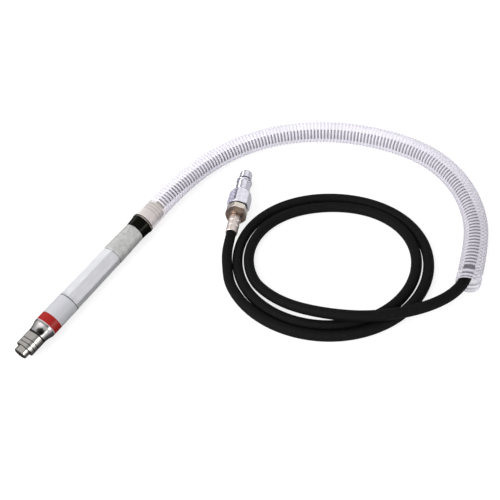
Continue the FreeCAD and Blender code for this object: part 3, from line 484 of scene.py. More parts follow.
@dataclass(frozen=True)
class EtchedAluminium(Finish):
    """Aluminium, etched and worn by hands: cloudy light and dark patches, matte, with small pits.

    Attributes:
        colour: Middle colour.
        pale: Colour of the rubbed patches.
        dark: Colour of the patches of stain.
        nick: Colour inside the pits.
        patch_size: Size of the patches, in millimetres.
        pit_size: Size of the pits, in millimetres.
        pit_depth: Depth of the pits, in millimetres.
        pit_strength: Share of that depth that shows.
        metallic: How much it still mirrors as metal under its etched skin.
        roughness: Roughness of the patches of stain and of rubbed patches.
    """

    name: str = "etched_aluminium"
    colour: str = "#BEBEBD"
    pale: str = "#C8C8C7"
    dark: str = "#B0B0AF"
    nick: str = "#6C6B68"
    patch_size: float = 3.6
    pit_size: float = 0.7
    pit_depth: float = 0.03
    pit_strength: float = 0.5
    metallic: float = 0.4
    roughness: Span = (0.62, 0.48)

    def lay(self, recipe: Recipe) -> None:
        """Lays patches and pits on the metal.

        Args:
            recipe: The recipe of its material.
        """
        place = recipe.place()
        clouds = recipe.add("TexNoise", {"Vector": place, "Scale": 1 / self.patch_size,
                                         "Detail": 5.0, "Roughness": 0.6})
        fine = recipe.add("TexNoise", {"Vector": place, "Scale": 1 / self.pit_size, "Detail": 4.0,
                                       "Roughness": 0.65})
        pits = recipe.add("MapRange", {0: fine, 1: 0.70, 2: 0.78})
        swell = recipe.add("Math", {0: clouds, 1: 0.5}, operation="MULTIPLY")
        height = recipe.add("Math", {0: swell, 1: pits}, operation="SUBTRACT")
        matte, rubbed = self.roughness
        recipe.surface(
            Base_Color=recipe.layered(
                self.colour,
                (recipe.add("MapRange", {0: clouds, 1: 0.5, 2: 0.62}), self.pale),
                (recipe.add("MapRange", {0: clouds, 1: 0.46, 2: 0.36}), self.dark),
                (pits, self.nick),
            ),
            Metallic=self.metallic,
            Roughness=recipe.add("MapRange", {0: clouds, 1: 0.35, 2: 0.65, 3: matte, 4: rubbed}),
            Normal=recipe.add("Bump", {"Height": height, "Distance": self.pit_depth * MM,
                                       "Strength": self.pit_strength}),
        )


@dataclass(frozen=True)
class GlossAnodised(Finish):
    """Black anodised and polished: nearly black, with clear reflections that soften in its smears.

    Attributes:
        colour: Colour of the black layer.
        worn: Colour where it is rubbed thin.
        smear_size: Size of the smears, in millimetres.
        ripple_size: Size of the polish's ripples, in millimetres.
        ripple_depth: Depth of those, in millimetres.
        roughness: Roughness of clean and of smeared places.
    """

    name: str = "black_gloss_anodised"
    colour: str = "#171714"
    worn: str = "#22221E"
    smear_size: float = 1.8
    ripple_size: float = 0.5
    ripple_depth: float = 0.003
    roughness: Span = (0.16, 0.26)

    def lay(self, recipe: Recipe) -> None:
        """Lays smears on the polished black.

        Args:
            recipe: The recipe of its material.
        """
        place = recipe.place()
        smears = recipe.add("TexNoise", {"Vector": place, "Scale": 1 / self.smear_size,
                                         "Detail": 3.0})
        ripples = recipe.add("TexNoise", {"Vector": place, "Scale": 1 / self.ripple_size})
        thin = recipe.add("MapRange", {0: smears, 1: 0.5, 2: 0.75})
        clean, smeared = self.roughness
        recipe.surface(
            Base_Color=recipe.layered(self.colour, (thin, self.worn)),
            Metallic=1.0,
            Roughness=recipe.add("MapRange", {0: smears, 1: 0.3, 2: 0.7, 3: clean, 4: smeared}),
            Normal=recipe.add("Bump", {"Height": ripples, "Distance": self.ripple_depth * MM}),
        )


@dataclass(frozen=True)
class KnurledFlange(Finish):
    """Plated brass with a fine straight knurl on its rim: a bright, glittering edge.

    Attributes:
        colour: Colour of the plated metal.
        valley: Colour between the teeth.
        shade_lines: Painted shade beside the ridges that hold the hose.
        teeth: Number of teeth round the rim.
        tooth_depth: Depth between them, in millimetres.
        rim: Stations of the knurled rim.
        dull_size: Size of the duller patches, in millimetres.
        roughness: Roughness of bright and of dull patches.
    """

    name: str = "knurled_nickelled_brass"
    colour: str = "#B5A8A0"
    valley: str = "#6F6965"
    # Painted shade: dark bands beside the three ridges, where they lie in shadow under the cuff.
    shade_lines: ShadeLines = ShadeLines(((153.8, 154.8), (156.8, 157.8), (159.8, 160.8)), "#3A332E", 0.9)
    teeth: int = 84
    tooth_depth: float = 0.08
    rim: Span = (143.4, 144.9)
    dull_size: float = 1.4
    roughness: Span = (0.2, 0.34)

    def lay(self, recipe: Recipe) -> None:
        """Lays the knurl on the rim and painted shade lines on the tube.

        Args:
            recipe: The recipe of its material.
        """
        place = recipe.place()
        parts = recipe.add("SeparateXYZ", {0: place}).node.outputs
        angle = recipe.add("Math", {0: parts["Z"], 1: parts["Y"]}, operation="ARCTAN2")
        waves = recipe.add("Math", {0: angle, 1: float(self.teeth)}, operation="MULTIPLY")
        waves = recipe.add("Math", {0: waves}, operation="SINE")
        height = recipe.add("Math", {0: waves, 1: recipe.band(parts["X"], self.rim)},
                            operation="MULTIPLY")
        low = recipe.add("MapRange", {0: height, 1: -1.0, 2: 0.2, 3: 1.0, 4: 0.0})
        dull = recipe.add("TexNoise", {"Vector": place, "Scale": 1 / self.dull_size, "Detail": 3.0})
        toothed = recipe.layered(self.colour, (low, self.valley))
        bright, matte = self.roughness
        recipe.surface(
            Metallic=1.0,
            Base_Color=recipe.shade_lined(toothed, parts["X"], self.shade_lines),
            Roughness=recipe.add("MapRange", {0: dull, 1: 0.3, 2: 0.7, 3: bright, 4: matte}),
            Normal=recipe.add("Bump", {"Height": height, "Distance": self.tooth_depth * MM}),
        )


@dataclass(frozen=True)
class BlackRubber(Finish):
    """Nitrile rubber, moulded: matte and nearly black, with a faint bloom of dust.

    Attributes:
        colour: Colour of the rubber.
        bloom: Colour of the dust on it.
        dust_size: Size of the dusty patches, in millimetres.
        skin_size: Size of the mould's texture, in millimetres.
        skin_depth: Depth of that, in millimetres.
        roughness: Its roughness.
    """

    name: str = "nitrile_rubber"
    colour: str = "#1A1A1A"
    bloom: str = "#343434"
    dust_size: float = 0.8
    skin_size: float = 0.2
    skin_depth: float = 0.01
    roughness: float = 0.62

    def lay(self, recipe: Recipe) -> None:
        """Lays dust on the moulded skin.

        Args:
            recipe: The recipe of its material.
        """
        place = recipe.place()
        dust = recipe.add("TexNoise", {"Vector": place, "Scale": 1 / self.dust_size, "Detail": 4.0})
        dusty = recipe.add("MapRange", {0: dust, 1: 0.5, 2: 0.8})
        skin = recipe.add("TexNoise", {"Vector": place, "Scale": 1 / self.skin_size})
        recipe.surface(
            Base_Color=recipe.layered(self.colour, (dusty, self.bloom)),
            Roughness=self.roughness,
            Normal=recipe.add("Bump", {"Height": skin, "Distance": self.skin_depth * MM}),
        )


@dataclass(frozen=True)
class Felt(Finish):
    """Pressed wool felt, soaked with oil and dirt: dark, soft, with short fibres at its edge; its
    dark colour is also painted shade for the gap where it shows.

    Attributes:
        colour: Colour of the wool.
        shade: Colour between the fibres.
        fibre_size: Width of the fibres, in millimetres.
        nap: Depth between the fibres, in millimetres.
        roughness: Its roughness.
        sheen: Strength of the pale fuzz along its outline.
    """

    name: str = "wool_felt"
    # Dark: oily wool, and painted shade for the gap round the nose where the seal shows.
    colour: str = "#4A443A"
    shade: str = "#1E1B17"
    fibre_size: float = 0.15
    nap: float = 0.08
    roughness: float = 0.95
    sheen: float = 0.4

    def lay(self, recipe: Recipe) -> None:
        """Lays the fibres.

        Args:
            recipe: The recipe of its material.
        """
        place = recipe.place()
        fibres = recipe.add("TexNoise", {"Vector": place, "Scale": 1 / self.fibre_size,
                                         "Detail": 6.0, "Roughness": 0.7})
        recipe.surface(
            Base_Color=recipe.layered(self.shade, (fibres, self.colour)),
            Roughness=self.roughness,
            Sheen_Weight=self.sheen,
            Normal=recipe.add("Bump", {"Height": fibres, "Distance": self.nap * MM}),
        )


@dataclass(frozen=True)
class VaneComposite(Finish):
    """Phenolic with cotton cloth, machined: brown, with a fine cross grain of threads.

    Attributes:
        colour: Colour of the resin.
        thread: Colour of the cut threads.
        pitch: Distance between threads, about 0.4 mm.
        depth: Depth between threads, in millimetres.
        roughness: Its roughness.
    """

    name: str = "cotton_phenolic"
    colour: str = "#5A3F28"
    thread: str = "#86653F"
    pitch: float = math.pi / 8
    depth: float = 0.01
    roughness: float = 0.5

    def lay(self, recipe: Recipe) -> None:
        """Lays the cut threads in the resin.

        Args:
            recipe: The recipe of its material.
        """
        # A wave at a scale of 1 runs through ten radians in a millimetre.
        scale = 2 * math.pi / (10 * self.pitch)
        cloth = recipe.add("TexWave", {"Vector": recipe.place(), "Scale": scale, "Distortion": 1.0},
                           "Fac", bands_direction="DIAGONAL")
        recipe.surface(
            Base_Color=recipe.layered(self.colour, (cloth, self.thread)),
            Roughness=self.roughness,
            Normal=recipe.add("Bump", {"Height": cloth, "Distance": self.depth * MM}),
        )


@dataclass(frozen=True)
class ChromePlate(Finish):
    """Chromium over nickel, polished: near mirror, a little violet, with polishing hairlines.

    Attributes:
        colour: Colour of the plating.
        tint: Colour of its duller patches.
        roughness: Roughness of the plating.
        fogged: Roughness that the dull patches add.
        fog_size: Size of those patches, in millimetres.
        hair_size: Distance between hairlines, in millimetres; they are five times as long.
        hair_depth: Depth of the hairlines, in millimetres.
        shade_lines: Painted shade in the locking groove.
    """

    name: str = "chrome_plate"
    line: Line = Line.CONNECTOR
    colour: str = "#E4E2EC"
    tint: str = "#D6D5E0"
    roughness: float = 0.08
    fogged: float = 0.05
    fog_size: float = 3.0
    hair_size: float = 0.25
    hair_depth: float = 0.0002
    # Painted shade: the locking groove under the collar is darkened where it lies in shadow.
    shade_lines: ShadeLines = ShadeLines(((58.3, 60.9),), "#1A1A1E", 0.8)

    def lay(self, recipe: Recipe) -> None:
        """Lays fog, hairlines and painted shade in the groove on the plating.

        Args:
            recipe: The recipe of its material.
        """
        place = recipe.place()
        fog = recipe.add("TexNoise", {"Vector": place, "Scale": 1 / self.fog_size, "Detail": 3.0})
        drawn = recipe.add("VectorMath", {0: place, 1: (0.2, 1.0, 1.0)}, operation="MULTIPLY")
        hairs = recipe.add("TexNoise", {"Vector": drawn, "Scale": 1 / self.hair_size})
        dull = recipe.add("MapRange", {0: fog, 1: 0.4, 2: 0.7})
        clean = recipe.layered(self.colour, (dull, self.tint))
        station = recipe.add("SeparateXYZ", {0: place}, "X")
        recipe.surface(
            Metallic=1.0,
            Base_Color=recipe.shade_lined(clean, station, self.shade_lines),
            Roughness=recipe.add("MapRange", {0: fog, 1: 0.35, 2: 0.7, 3: self.roughness,
                                              4: self.roughness + self.fogged}),
            Normal=recipe.add("Bump", {"Height": hairs, "Distance": self.hair_depth * MM}),
        )


@dataclass(frozen=True)
class Braid(Finish):
    """Black polyester yarn braided over a rubber hose: matte, with a fine criss-cross of strands.

    A strand is about 0.7 mm wide, which is near the width of one point of the picture, so the
    strands are drawn 1.1 mm wide.

    Attributes:
        strand: Colour of a strand's crown.
        gap: Colour between strands.
        rubbed: Colour where the yarn is rubbed.
        around: Strands around the hose, half of them each way.
        pitch: Length in which a strand goes once round, in millimetres.
        depth: Depth between strands, in millimetres.
        rubs: Rubbed patches in a metre, each about 4 mm long.
        roughness: Roughness between strands and on their crowns.
        specular: Strength of the yarn's reflection.
    """

    name: str = "braided_polyester"
    strand: str = "#101011"
    gap: str = "#050505"
    rubbed: str = "#1C1C1E"
    around: int = 24
    pitch: float = 26.0
    depth: float = 0.08
    rubs: float = 260.0
    roughness: Span = (0.75, 0.6)
    specular: float = 0.1

    def lay(self, recipe: Recipe) -> None:
        """Lays two sets of strands that cross, and the yarn's wear.

        Args:
            recipe: The recipe of its material.
        """
        layout = recipe.add("SeparateXYZ", {0: recipe.add("UVMap", uv_map=Tube.LAYOUT)})
        turns = math.pi * self.around
        across = recipe.add("Math", {0: layout.node.outputs["X"], 1: turns}, operation="MULTIPLY")
        along = recipe.add("Math", {0: layout.node.outputs["Y"], 1: turns / self.pitch},
                           operation="MULTIPLY")
        sets = []
        for way in ("ADD", "SUBTRACT"):
            phase = recipe.add("Math", {0: across, 1: along}, operation=way)
            sets.append(recipe.add("Math", {0: phase}, operation="SINE"))
        weave = recipe.add("Math", dict(enumerate(sets)), operation="MULTIPLY")
        wear = recipe.add("TexNoise", {"Vector": recipe.add("TexCoord", out="Object"),
                                       "Scale": self.rubs, "Detail": 4.0})
        deep, crown = self.roughness
        recipe.surface(
            Base_Color=recipe.layered(
                self.gap,
                (recipe.add("MapRange", {0: weave, 1: -0.7, 2: 0.8}), self.strand),
                (recipe.add("MapRange", {0: wear, 1: 0.55, 2: 0.8, 4: 0.35}), self.rubbed),
            ),
            Roughness=recipe.add("MapRange", {0: weave, 1: -1.0, 3: deep, 4: crown}),
            Specular_IOR_Level=self.specular,
            Normal=recipe.add("Bump", {"Height": weave, "Distance": self.depth * MM}),
        )


@dataclass(frozen=True)
class MilkyPvc(Finish):
    """Soft PVC, extruded and blown into ribs: milky and half clear, clearer in its thin grooves.

    Attributes:
        colour: Colour of the plastic.
        cuff_colour: Its colour over the metal spigot.
        far_colour: Its darker colour towards the open end, which also shows in the milky clouds.
        far_span: Where it turns to that, in millimetres from the cuff's mouth.
        cuff_span: Where the cuff's colour ends, in millimetres from its mouth.
        ridge_shade: Dull lines of painted shade where the spigot's ridges press from inside.
        clouds: Milky clouds in a metre, each about 17 mm long.
        groove_alpha: How much the thin groove hides.
        crest_alpha: How much the thicker crest hides.
        bore_alpha: Share of the groove's hiding that the inner face adds.
        glow: Painted light: an even glow that lifts its shaded side, in place of light that spreads
            inside the wall.
        through: Painted light: a further glow on faces seen from behind, in place of light that
            comes through the far wall.
        glow_colour: Colour of both.
        far_glow: Share of both that is left at the open end.
        roughness: Its roughness.
        coat: Strength of its clear skin's reflection.
    """

    name: str = "milky_pvc"
    colour: str = "#E2DFE9"
    cuff_colour: str = "#F4ECE7"
    far_colour: str = "#C6C2CE"
    far_span: Span = (250.0, 380.0)
    cuff_span: Span = (19.5, 22.5)
    # Painted shade: the spigot's ridges drawn as dull lines on the cuff.
    ridge_shade: ShadeLines = ShadeLines(((8.5, 9.4), (11.5, 12.4), (14.5, 15.4)), "#8F8580", 0.45, 0.25)
    clouds: float = 60.0
    groove_alpha: float = 0.25
    crest_alpha: float = 0.9
    bore_alpha: float = 0.12
    glow: float = 0.1
    through: float = 0.42
    glow_colour: str = "#E9E5F6"
    far_glow: float = 0.3
    roughness: float = 0.38
    coat: float = 0.2

    def lay(self, recipe: Recipe) -> None:
        """Lays milk, clear grooves, painted shade over the ridges and a painted glow in the wall.

        Args:
            recipe: The recipe of its material.
        """
        crest = recipe.add("Attribute", out="Fac", attribute_name=Tube.CREST)
        along = recipe.along()
        clouds = recipe.add("TexNoise", {"Vector": recipe.add("TexCoord", out="Object"),
                                         "Scale": self.clouds, "Detail": 3.0})
        near, far = self.far_span
        cuff, clear = self.cuff_span
        colour = recipe.layered(
            self.colour,
            (recipe.add("MapRange", {0: along, 1: near, 2: far}), self.far_colour),
            (recipe.add("MapRange", {0: along, 1: clear, 2: cuff}), self.cuff_colour),
            (recipe.add("MapRange", {0: clouds, 1: 0.4, 2: 0.7, 4: 0.3}), self.far_colour),
        )
        wall = recipe.add("MapRange", {0: crest, 3: self.groove_alpha, 4: self.crest_alpha})
        bore = recipe.add("MapRange", {0: crest, 1: -1.0, 2: 0.0, 3: self.bore_alpha})
        hidden = recipe.add("Math", {0: wall, 1: bore}, operation="MULTIPLY")
        milk = recipe.add("MapRange", {0: clouds, 1: 0.3, 2: 0.7, 3: -0.03, 4: 0.03})
        # Painted light: the wall glows, more on faces seen from behind and less towards the open
        # end.
        behind = recipe.add("NewGeometry", out="Backfacing")
        inner = recipe.add("Math", {0: behind, 1: self.through}, operation="MULTIPLY")
        inner = recipe.add("Math", {0: inner, 1: self.glow}, operation="ADD")
        left = recipe.add("MapRange", {0: along, 1: near, 2: far, 3: 1.0, 4: self.far_glow})
        recipe.surface(
            Base_Color=recipe.shade_lined(colour, along, self.ridge_shade),
            Roughness=self.roughness,
            Alpha=recipe.add("Math", {0: hidden, 1: milk}, operation="ADD"),
            Emission_Color=self.glow_colour,
            Emission_Strength=recipe.add("Math", {0: inner, 1: left}, operation="MULTIPLY"),
            Coat_Weight=self.coat,
        )


@dataclass(frozen=True)
class WhiteTable(Finish):
    """White board, painted matte: white to the eye, greyer in the metal, and it keeps the shadow.

    Attributes:
        colour: Colour that takes light and shadow.
        cloth: Colour of the painted shadow on the table near the tool, which only the metal
            mirrors.
        mirrored_shadow_span: Where that painted shadow ends and the open table starts, across the
            tool.
        seen: Strength of its white to the eye.
        mirrored: Strength of its white in the metal, away from the painted shadow.
        roughness: Its roughness.
        specular: Strength of its reflection.
    """

    name: str = "white_table"
    colour: str = "#9A9A9A"
    # Painted shadow: a darker table near the tool, seen only in the metal, in place of the tool's
    # own shadow in its reflections.
    cloth: str = "#545454"
    mirrored_shadow_span: Span = (0.022, 0.036)
    seen: float = 0.78
    mirrored: float = 0.3
    roughness: float = 0.9
    specular: float = 0.1

    def lay(self, recipe: Recipe) -> None:
        """Lays the board's colour, its white and the painted shadow that the metal mirrors.

        Args:
            recipe: The recipe of its material.
        """
        rays = recipe.add("LightPath").node.outputs
        near, clear = self.mirrored_shadow_span
        side = recipe.add("SeparateXYZ", {0: recipe.add("TexCoord", out="Object")}, "Y")
        bare = recipe.add("MapRange", {0: side, 1: near, 2: clear})
        seen = recipe.add("Math", {0: rays["Is Camera Ray"], 1: rays["Is Transmission Ray"]},
                          operation="MAXIMUM")
        seen = recipe.add("Math", {0: seen, 1: self.seen}, operation="MULTIPLY")
        mirror = recipe.add("Math", {0: bare, 1: self.mirrored}, operation="MULTIPLY")
        mirror = recipe.add("Math", {0: rays["Is Glossy Ray"], 1: mirror}, operation="MULTIPLY")
        # Painted shadow: glossy rays see the darker colour near the tool.
        card = recipe.layered(self.cloth, (bare, self.colour))
        recipe.surface(
            Base_Color=recipe.layered(self.colour, (rays["Is Glossy Ray"], card)),
            Roughness=self.roughness,
            Specular_IOR_Level=self.specular,
            Emission_Color="#FFFFFF",
            Emission_Strength=recipe.add("Math", {0: seen, 1: mirror}, operation="ADD"),
        )


@dataclass(frozen=True)
class Route:
    """A line through control points, smooth, that a hose follows.

    Attributes:
        name: Name of the line.
        points: Control points in the frame of the parts.
        steps: Steps that the line takes between two of them.
    """

    name: str
    points: tuple[Point, ...]
    steps: int = 24

    def line(self) -> list[Vector]:
        """Reads the route's smooth line from its spline.

        Returns:
            Close points of the line.
        """
        curve = bpy.data.curves.new(self.name, "CURVE")
        curve.dimensions = "3D"
        spline = curve.splines.new("NURBS")
        spline.points.add(len(self.points) - 1)
        for control, point in zip(spline.points, self.points):
            control.co = (*point, 1.0)
        spline.order_u = 3
        spline.use_endpoint_u = True
        spline.resolution_u = self.steps
        holder = bpy.data.objects.new(self.name, curve)
        mesh = bpy.data.meshes.new_from_object(holder)
        points = [v.co.copy() for v in mesh.vertices]
        bpy.data.objects.remove(holder)
        bpy.data.curves.remove(curve)
        bpy.data.meshes.remove(mesh)
        return points


@dataclass
class Path:
    """A measured line of close points.

    Attributes:
        points: The points, in order.
        marks: Distance of each point along the line.
    """

    points: list[Vector]
    marks: list[float] = field(init=False)

    def __post_init__(self) -> None:
        """Measures the line."""
        self.marks = [0.0]
        for before, here in zip(self.points, self.points[1:]):
            self.marks.append(self.marks[-1] + (here - before).length)

    @property
    def length(self) -> float:
        """Returns the whole length."""
        return self.marks[-1]

    def frames(self, distances: list[float]) -> list[tuple[Vector, Vector, Vector]]:
        """Finds places along the line.

        Args:
            distances: Distances along it, in rising order.

        Returns:
            Point, level side and up at each distance.
        """
        found = []
        index = 0
        for distance in distances:
            while index < len(self.marks) - 2 and distance > self.marks[index + 1]:
                index += 1
            here, there = self.points[index], self.points[index + 1]
            share = (distance - self.marks[index]) / (self.marks[index + 1] - self.marks[index])
            before = self.points[max(index - 1, 0)]
            after = self.points[min(index + 2, len(self.points) - 1)]
            ahead = (there - before).lerp(after - here, share).normalized()
            side = Vector((0, 0, 1)).cross(ahead).normalized()
            found.append((here.lerp(there, share), side, ahead.cross(side)))
        return found


@dataclass(frozen=True)
class Ring:
    """One ring of points of a hose.

    Attributes:
        distance: Distance along the hose.
        radius: Its radius.
        crest: 1 on a rib's crest, 0 in a groove, below zero in a bore.
    """

    distance: float
    radius: float
    crest: float = 0.0


@dataclass
class Tube:
    """A tube mesh through rings along a path.

    Attributes:
        name: Name of the piece.
        path: The line that it follows.
        sides: Points in each ring.
    """

    LAYOUT = "layout"
    CREST = "crest"

    name: str
    path: Path
    sides: int

    def build(self, rings: list[Ring], closed: bool) -> bpy.types.Object:
        """Makes the tube.

        Args:
            rings: Its rings; their distances may run back for a bore.
            closed: Whether the last ring joins the first, as on a hose with a bore.

        Returns:
            The new object, linked to the scene.
        """
        mesh = bpy.data.meshes.new(self.name)
        mesh.from_pydata(self.vertices(rings), [], self.faces(len(rings), closed))
        mesh.polygons.foreach_set("use_smooth", [True] * len(mesh.polygons))
        crest = mesh.attributes.new(self.CREST, "FLOAT", "POINT")
        crest.data.foreach_set("value", [ring.crest for ring in rings for _ in range(self.sides)])
        self.lay_out(mesh, rings)
        mesh.update()
        piece = bpy.data.objects.new(self.name, mesh)
        bpy.context.scene.collection.objects.link(piece)
        return piece

    def vertices(self, rings: list[Ring]) -> list[tuple[float, ...]]:
        """Places the points of all rings.

        Args:
            rings: The rings.

        Returns:
            The points, ring by ring.
        """
        order = sorted(range(len(rings)), key=lambda i: rings[i].distance)
        spots = dict(zip(order, self.path.frames([rings[i].distance for i in order])))
        vertices = []
        for index, ring in enumerate(rings):
            point, side, up = spots[index]
            for k in range(self.sides):
                turn = 2 * math.pi * k / self.sides
                vertices.append(tuple(point + side * (ring.radius * math.cos(turn))
                                      + up * (ring.radius * math.sin(turn))))
        return vertices

    def faces(self, count: int, closed: bool) -> list[tuple[int, ...]]:
        """Joins the rings.

        Args:
            count: Number of rings.
            closed: Whether the last ring joins the first.

        Returns:
            The faces between rings, and the two ends of a tube that isn't closed.
        """
        pairs = list(zip(range(count), range(1, count)))
        if closed:
            pairs.append((count - 1, 0))
        faces: list[tuple[int, ...]] = []
        for a, b in pairs:
            a, b = a * self.sides, b * self.sides
            for k in range(self.sides):
                n = (k + 1) % self.sides
                faces.append((a + k, a + n, b + n, b + k))
        if not closed:
            faces.append(tuple(reversed(range(self.sides))))
            faces.append(tuple((count - 1) * self.sides + k for k in range(self.sides)))
        return faces

    def lay_out(self, mesh: bpy.types.Mesh, rings: list[Ring]) -> None:
        """Gives each face its share round the hose and its millimetres along it.

        Args:
            mesh: The tube's mesh.
            rings: Its rings.
        """
        layout = mesh.uv_layers.new(name=self.LAYOUT)
        for polygon in mesh.polygons:
            first = polygon.index % self.sides
            for corner, loop in enumerate(polygon.loop_indices):
                ring = rings[mesh.loops[loop].vertex_index // self.sides]
                column = first + (1 if corner in (1, 2) else 0)
                layout.data[loop].uv = (column / self.sides, ring.distance / MM)


@dataclass
class ExhaustHose:
    """Ribbed hose: a smooth cuff on the tool, ribs, a wide groove near the open end, a plain lip.

    Attributes:
        route: Centreline, from the tool to the open end.
        crest_r: Outer radius of a rib.
        rib_height: Height of a rib over its groove.
        wall: Wall thickness.
        ribs: Number of ribs.
        cuff_length: Length of the smooth cuff.
        cuff_r: Outer radius of the cuff at the tool.
        cuff_bore_r: Inner radius of the cuff.
        cuff_edge: Its rounded edge: distance, depth under that radius and crest value.
        cuff_foot: Length between its taper and the first rib.
        cuff_over: How far its foot stands over a rib's crest.
        bore_step: How far ahead of the first rib the ribbed bore starts and the cuff's bore ends.
        wide_groove: Width of the one wide groove.
        last_ribs: Widths of the ribs behind it.
        lip: Length of the plain lip at the open end.
        lip_r: Outer radius of that lip.
        lip_edges: Length of its front slope, length of its rounded end and how far that draws in.
        sides: Points round it.
    """

    BORE = -1.0
    CUFF_CREST = 0.4
    LIP_ROOT = 0.2
    LIP_CREST = 0.8
    TAPER = (0.25, 0.5, 0.75, 1.0)
    # A rib's outline: share of its pitch and share of its height.
    RIB = ((0.0, 0.0), (0.14, 0.08), (0.27, 0.62), (0.38, 0.95), (0.5, 1.0), (0.62, 0.95),
           (0.73, 0.62), (0.86, 0.08))

    route: Route = Route("exhaust_route", mm(
        (-63.5, 0.0, 9.75), (-95.5, 0.0, 9.75), (-128.0, 2.3, 9.2), (-155.5, 9.0, 9.0),
        (-185.5, 24.5, 9.0), (-212.5, 50.0, 9.0), (-233.5, 87.5, 9.0), (-243.0, 131.0, 9.0),
        (-241.0, 174.0, 9.0), (-222.0, 210.0, 9.0), (-190.5, 236.5, 9.0), (-156.0, 248.6, 9.0),
        (-127.8, 254.3, 9.0),
    ))
    crest_r: float = 9.0 * MM
    rib_height: float = 0.8 * MM
    wall: float = 0.5 * MM
    ribs: int = 130
    cuff_length: float = 19.2 * MM
    cuff_r: float = 9.65 * MM
    cuff_bore_r: float = 8.2 * MM
    cuff_edge: tuple[Point, ...] = ((0.0, 0.2 * MM, 0.8), (0.15 * MM, 0.0, 0.6),
                                    (1.2 * MM, 0.0, CUFF_CREST))
    cuff_foot: float = 1.0 * MM
    cuff_over: float = 0.05 * MM
    bore_step: Span = (0.5 * MM, 1.5 * MM)
    wide_groove: float = 2.7 * MM
    last_ribs: Span = (4.4 * MM, 3.4 * MM)
    lip: float = 1.5 * MM
    lip_r: float = 8.7 * MM
    lip_edges: Point = (0.5 * MM, 0.3 * MM, 0.15 * MM)
    sides: int = 48

    def outside(self, length: float) -> list[Ring]:
        """Draws the outside.

        Args:
            length: Length of the hose.

        Returns:
            The rings from front to rear.
        """
        root = self.crest_r - self.rib_height
        end = length - self.lip - sum(self.last_ribs) - self.wide_groove
        pitch = (end - self.cuff_length) / self.ribs
        rings = [Ring(at, self.cuff_r - depth, crest) for at, depth, crest in self.cuff_edge]
        front = self.cuff_edge[-1][0]
        for share in self.TAPER:
            reach = front + share * (self.cuff_length - self.cuff_foot - front)
            narrowed = (self.crest_r + self.cuff_over - self.cuff_r) * share
            rings.append(Ring(reach, self.cuff_r + narrowed, self.CUFF_CREST))
        for index in range(self.ribs):
            rings += self.rib(self.cuff_length + index * pitch, pitch)
        rings.append(Ring(end, root))
        position = end + self.wide_groove
        for width in self.last_ribs:
            rings += self.rib(position, width)
            position += width
        slope, rounded, drawn_in = self.lip_edges
        return rings + [
            Ring(position, root, self.LIP_ROOT),
            Ring(position + slope, self.lip_r, self.LIP_CREST),
            Ring(length - rounded, self.lip_r, self.LIP_CREST),
            Ring(length, self.lip_r - drawn_in, self.LIP_CREST),
        ]

    def rib(self, position: float, pitch: float) -> list[Ring]:
        """Draws one rib with a rounded crest and a rounded groove.

        Args:
            position: Where it starts.
            pitch: Its width with its groove.

        Returns:
            Its rings.
        """
        root = self.crest_r - self.rib_height
        return [Ring(position + share * pitch, root + height * self.rib_height, height)
                for share, height in self.RIB]

    def inside(self, outside: list[Ring]) -> list[Ring]:
        """Draws the bore, which follows the ribs one wall in.

        Args:
            outside: The rings of the outside.

        Returns:
            The rings from rear to front.
        """
        start, end = [self.cuff_length - step for step in self.bore_step]
        rings = [Ring(ring.distance, ring.radius - self.wall, self.BORE)
                 for ring in reversed(outside) if ring.distance >= start]
        return rings + [Ring(at, self.cuff_bore_r, self.BORE) for at in (end, 0.0)]

    def build(self) -> bpy.types.Object:
        """Returns:
            The hose.
        """
        path = Path(self.route.line())
        outside = self.outside(path.length)
        tube = Tube("exhaust_hose_ribbed", path, self.sides)
        piece = tube.build(outside + self.inside(outside), closed=True)
        piece.data.materials.append(MilkyPvc().build())
        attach(piece, HOUSING)
        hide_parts("exhaust_hose")
        LOG.info("exhaust hose: %.3f m, %d ribs", path.length, self.ribs)
        return piece


@dataclass(frozen=True)
class Slide:
    """A place where a turn of the coil has slid outwards on the table.

    Attributes:
        reach: How far, in millimetres.
        angle: Angle of its middle, in degrees.
        width: Angle to either side at which it has faded out.
    """

    reach: float
    angle: float
    width: float


